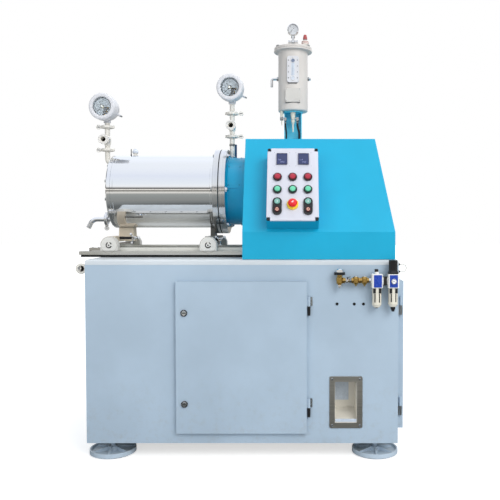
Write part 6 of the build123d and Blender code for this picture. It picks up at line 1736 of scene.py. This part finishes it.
def buildAirUnit():
    (low, high), y, front = air["z"], air["y"], air["front"]
    forms = []
    for n, x in enumerate(air["x"]):
        forms += block(x - 24, x + 24, front, -9.0, low, high, "unitPlastic", 2.6, 6.0, 4)
        forms += block(x - 26.4, x + 26.4, y - 9, y + 9, low + 21, low + 41, "unitPlastic", 1.6, 3.0)
        insert = slab(rect(-17.5, 17.5, -27.0, 27.0, 3.0, 4), 0, 3.0, "unitBlue", 1.0)
        forms += placed(insert, x + (2.0 if n == 0 else 0.0), front + 1.2, (low + high) / 2, "front")
        forms += block(x - 12, x + 12, -10.0, -0.2, low + 14, low + 44, "unitPlastic", 0.8)
        # bowl: shoulder ring, ribbed cream guard with dark slots, rounded bottom
        bottom = air["bowlLow"] + (2.0 if n else 0.0)
        bowl = rounded([(0, bottom), (14, bottom), (20.6, bottom + 12), (20.6, low - 6), (19.0, low - 1),
                        (19, low + 0.5), (0, low + 0.5)], (0, 7, 8, 1, 1, 0, 0), 5)
        forms += placed(turned(bowl, "bowlPlastic", 56), x, y, 0)
        for z in (low - 14.0, bottom + 14.0):
            band = rounded([(20.0, z - 2), (21.4, z - 1.4), (21.4, z + 1.4), (20.0, z + 2)], 0.4, 2)
            forms += placed(turned(band, "bowlPlastic", 56, ring=True), x, y, 0)
        for spin in (-62.0, -118.0, 0.0, 180.0):
            slot = slab(rect(-2.6, 2.6, bottom + 22, low - 24, 2.4, 4), 19.6, 20.9, "blackGloss", 0.2)
            a = radians(spin)
            out = np.array([cos(a), sin(a), 0.0])
            forms += placed(slot, x, y, 0, aim=np.column_stack([(-sin(a), cos(a), 0), (0, 0, 1), out]))
        latch = slab(rect(-5.5, 5.5, -22, 0.0, 2.0, 3), 0, 3.4, "blackPlastic", 0.8)
        forms += placed(latch, x - 12.0, y - 17.8, low - 0.5,
                        "front") + placed(latch, x + 12.0, y - 17.8, low - 0.5, "front")
    x = air["x"][0]
    forms += placed(turned([(0, 0), (9, 0), (8.4, 10), (0, 10)], "unitPlastic", 36), x, y, high - 0.5)
    cap = rounded([(0, 9), (8.6, 9), (8.6, 21), (0, 21.5)], (0, 0.6, 2.0, 0), 4)
    forms += placed(turned(cap, "blackPlastic", 40), x - 1.5, y, high)
    forms += placed(lathed([(0, -4), (6, -4), (7, 0.5), (0, 0.5)], (0, 1.5, 0.4, 0), "blackPlastic", 32,
                           3), x, y, air["bowlLow"] + 0.5)
    x = air["x"][1]
    drain = rounded([(0, -20), (6.0, -20), (7.5, -14), (10.5, -8), (10.5, 2), (0, 2)], (0, 2, 3, 3, 1, 0),
                    4)
    forms += placed(turned(drain, "blackPlastic", 40), x, y, air["bowlLow"] + 1.5)
    forms += placed(turned([(0, 0), (8, 0), (8, 12.4), (0, 12.4)], "unitPlastic", 32), x, y, high - 0.5)
    forms += block(air["x"][0] + 24, x - 24, y - 14, y + 14, low + 16, low + 46, "unitPlastic", 1.2)
    forms += block(air["x"][0] + 28, x - 28, y - 17, y + 15, low + 12, low + 50, "blackPlastic", 1.6)
    dial = lathed([(0, 0), (12, 0), (12, 6.5), (10.6, 8), (9.8, 8), (9.6, 5.6), (0, 5.6)],
                  (0, 0.4, 1.2, 0.4, 0.3, 0.2, 0), "chrome", 56, 3)
    dial += dialForms(9.4, 5.7, 4, ("0", "5", "10"), 2.6)
    hand = slab([(-0.7, -2.5), (0.7, -2.5), (0.2, 7.4), (-0.2, 7.4)], 6.6, 7.0, "needle", 0.05)
    dial += placed(hand, spin=70.0) + slab(circle(1.5, 20), 6.5, 7.4, "needle", 0.1)
    forms += placed(dial, x, front - 1.0, low + 30.0, "front")
    makePiece("airUnit", "root", forms, ("air_unit",), slot="unit_plastic")


def ribbedKnob(r, low, high, ribs, depth, finish):
    # Radius r - depth (0.5 + 0.5 cos(ribs a)) ^ 3 round the side; the top is domed in
    a = np.arange(ribs * 8) * 2 * pi / (ribs * 8)
    outline = (r - depth * (0.5 + 0.5 * np.cos(ribs * a)) ** 3)[:, None] * polar(1.0, a)
    return slab(outline, low, high, finish, 1.6, 4)


def buildKnobs():
    x, y, low = air["x"][1], air["y"], air["z"][1] + 0.3
    skirt = rounded([(8.1, low), (24, low), (24, low + 4), (19, low + 15), (8.1, low + 15)],
                    (0.2, 1.2, 2.5, 2, 0.2), 4)
    forms = turned(skirt, "blackPlastic", 64, ring=True)
    forms += ribbedKnob(19.0, low + 14.0, air["knobTop"], 18, 1.6, "blackPlastic")
    forms += slab(circle(12.5, 40), air["knobTop"] - 0.6, air["knobTop"], "blackGloss", 0.2)
    forms += placed(slab(rect(-0.9, 0.9, 12, 17), air["knobTop"] - 0.6, air["knobTop"] - 0.02, "dialWhite",
                         0.05))
    makePiece("regulatorKnob", "regulator_knob", placed(forms, x, y, 0), ("regulator_knob",),
              slot="black_plastic")
    x, y, low = air["valveX"], air["barY"], air["barZ"] + 24.3
    forms = ribbedKnob(air["knobR"], low, low + 12.0, 8, 2.6, "blackPlastic")
    cap = rounded([(0, low + 11.5), (16.8, low + 11.5), (16.8, low + 23), (12.8, low + 27), (0, low + 27)],
                  (0, 0.4, 3, 3, 0), 4)
    forms += turned(cap, "chrome", 48)
    forms += placed(slab(rect(-0.8, 0.8, 8.0, 15.0, 0.5, 2), low + 26.4, low + 27.0, "dialInk", 0.05))
    makePiece("manifoldKnob", "manifold_knob", placed(forms, x, y, 0), ("manifold_knob",),
              slot="black_plastic")


def buildManifold():
    y, z, x = air["barY"], air["barZ"], air["valveX"]
    forms = []
    body = rounded([(0, -24), (7, -24), (9, -17), (14.2, -12), (14.2, 12), (11, 18), (11, 24), (0, 24)],
                   (0, 2, 2, 3, 3, 2, 0.6, 0), 4)
    forms += placed(turned(body, "brass", 48), x, y, z)
    forms += placed(slab(hexagon(13.0), -27, -19.5, "chrome",
                         0.8) + lathed([(0, -33), (6.4, -33), (6.4, -26), (0, -26)], (0, 1.5, 0.3, 0),
                                       "chrome", 32, 3), x, y, z)
    forms += placed(slab(circle(5.9, 24), 20.0, 34.0, "zinc", 0.4), x, y, z)
    axis = [(x, y, z), (air["x"][0] - 24.0, y, z)]
    forms += pipeRun(axis, 8.4, "brass", 32, across=(0, 0, 1))
    for place, finish, wide, long in ((x + 14, "brass", 13.5, 9.0), (x + 26, "chrome", 12.0, 12.0),
                                      (x + 42, "zinc", 10.5, 9.0),
                                      (air["teeX"][0] - 19, "brass", 13.0, 8.0),
                                      (air["teeX"][0] + 12, "brass", 13.0, 8.0),
                                      (air["teeX"][1] - 17, "brass", 12.0, 6.0),
                                      (air["teeX"][1] + 10, "brass", 12.0, 7.0),
                                      (air["x"][0] - 34, "chrome", 11.5, 9.5)):
        forms += placed(slab(hexagon(wide), 0, long, finish, 0.7), place, y, z, "right")
    for t in air["teeX"]:
        tee = rounded([(0, -26), (3.2, -26), (4.0, -21), (9.0, -16), (13.6, -9), (13.6, 9), (12.2, 15.6),
                       (0, 15.6)], (0, 1, 1, 2, 3, 2.5, 1.2, 0), 4)
        forms += placed(turned(tee, "brass", 44), t, y, z)
        forms += placed(slab(hexagon(7.5), 15.0, 19.5, "chrome", 0.5), t, y, z)
    for t in (x,) + air["teeX"]:
        forms += placed(slab(circle(7.9, 28), 0, 30, "brass", 0.3), t, y, z, "back")
        forms += placed(lathed([(7.9, 0), (15.0, 0), (13.6, 2.6), (7.9, 3.4)], 0.6, "zinc", 40, 3, True),
                        t, -0.2, z, "front")
    # Small lever on the cock between the valve and the first tee
    lever = roundedLine([(0, 0), (0, 13), (16, 17)], 4.0, 5)
    path = np.column_stack([x + 31 + lever[:, 0], np.full(len(lever), y - 11.0), z + lever[:, 1]])
    forms += swept(path, rect(-1.2, 1.2, -4.0, 4.0, 0.8, 2), "blackPlastic", (0, 1, 0))
    forms += placed(slab(hexagon(5.0), 9.0, 14.0, "chrome", 0.4), x + 31, y, z, "front")
    makePiece("airManifold", "root", forms, ("air_manifold",), slot="manifold_brass")


def buildPorts():
    # Water port: a wall flange, an elbow and a ferrule to the front.
    # A thin air tube loops on the right side.
    turn = roundedLine([(-693.2, 162.0, 842.0), (-746.0, 162.0, 842.0), (-746.0, 110.0, 842.0)], 34.0, 14)
    forms = pipeRun(turn[:-1].tolist() + [(-746.0, 140.0, 842.0)], 16.0, across=(0, 0, 1), sides=44)
    forms += placed(ferruleEnd(25.25, 14.5, 32.0), -746.0, 110.0, 842.0, "front")
    collar = rounded([(16.0, 0), (25.5, 0), (25.5, 3.2), (18.6, 5.2), (16.0, 8)], (0.2, 0.5, 1, 1.5, 0.4),
                     3)
    forms += placed(turned(collar, "turnedSteel", 56, ring=True), -693.1, 162.0, 842.0, "left")
    loop = roundedLine([(693.2, 40.0, 866.0), (733.0, 40.0, 866.0), (733.0, 40.0, 834.0),
                        (693.2, 40.0, 834.0)], 15.0, 10)
    forms += pipeRun(loop, 3.0, "hoseWhite", 20, across=(0, 1, 0))
    for z in (866.0, 834.0):
        fitting = slab(hexagon(6.6), 0.0, 6.0, "zinc",
                       0.5) + lathed([(3.1, 5.6), (5.4, 5.6), (5.0, 11.0), (3.1, 11.5)], 0.5,
                                     "blackPlastic", 28, 2, True)
        forms += placed(fitting, 693.2, 40.0, z, "right")
    makePiece("ports", "root", forms, ("hose_port",), slot="polished_stainless")


buildCarriage()
buildAirUnit()
buildKnobs()
buildManifold()
buildPorts()
print("carriage, air unit and ports built")
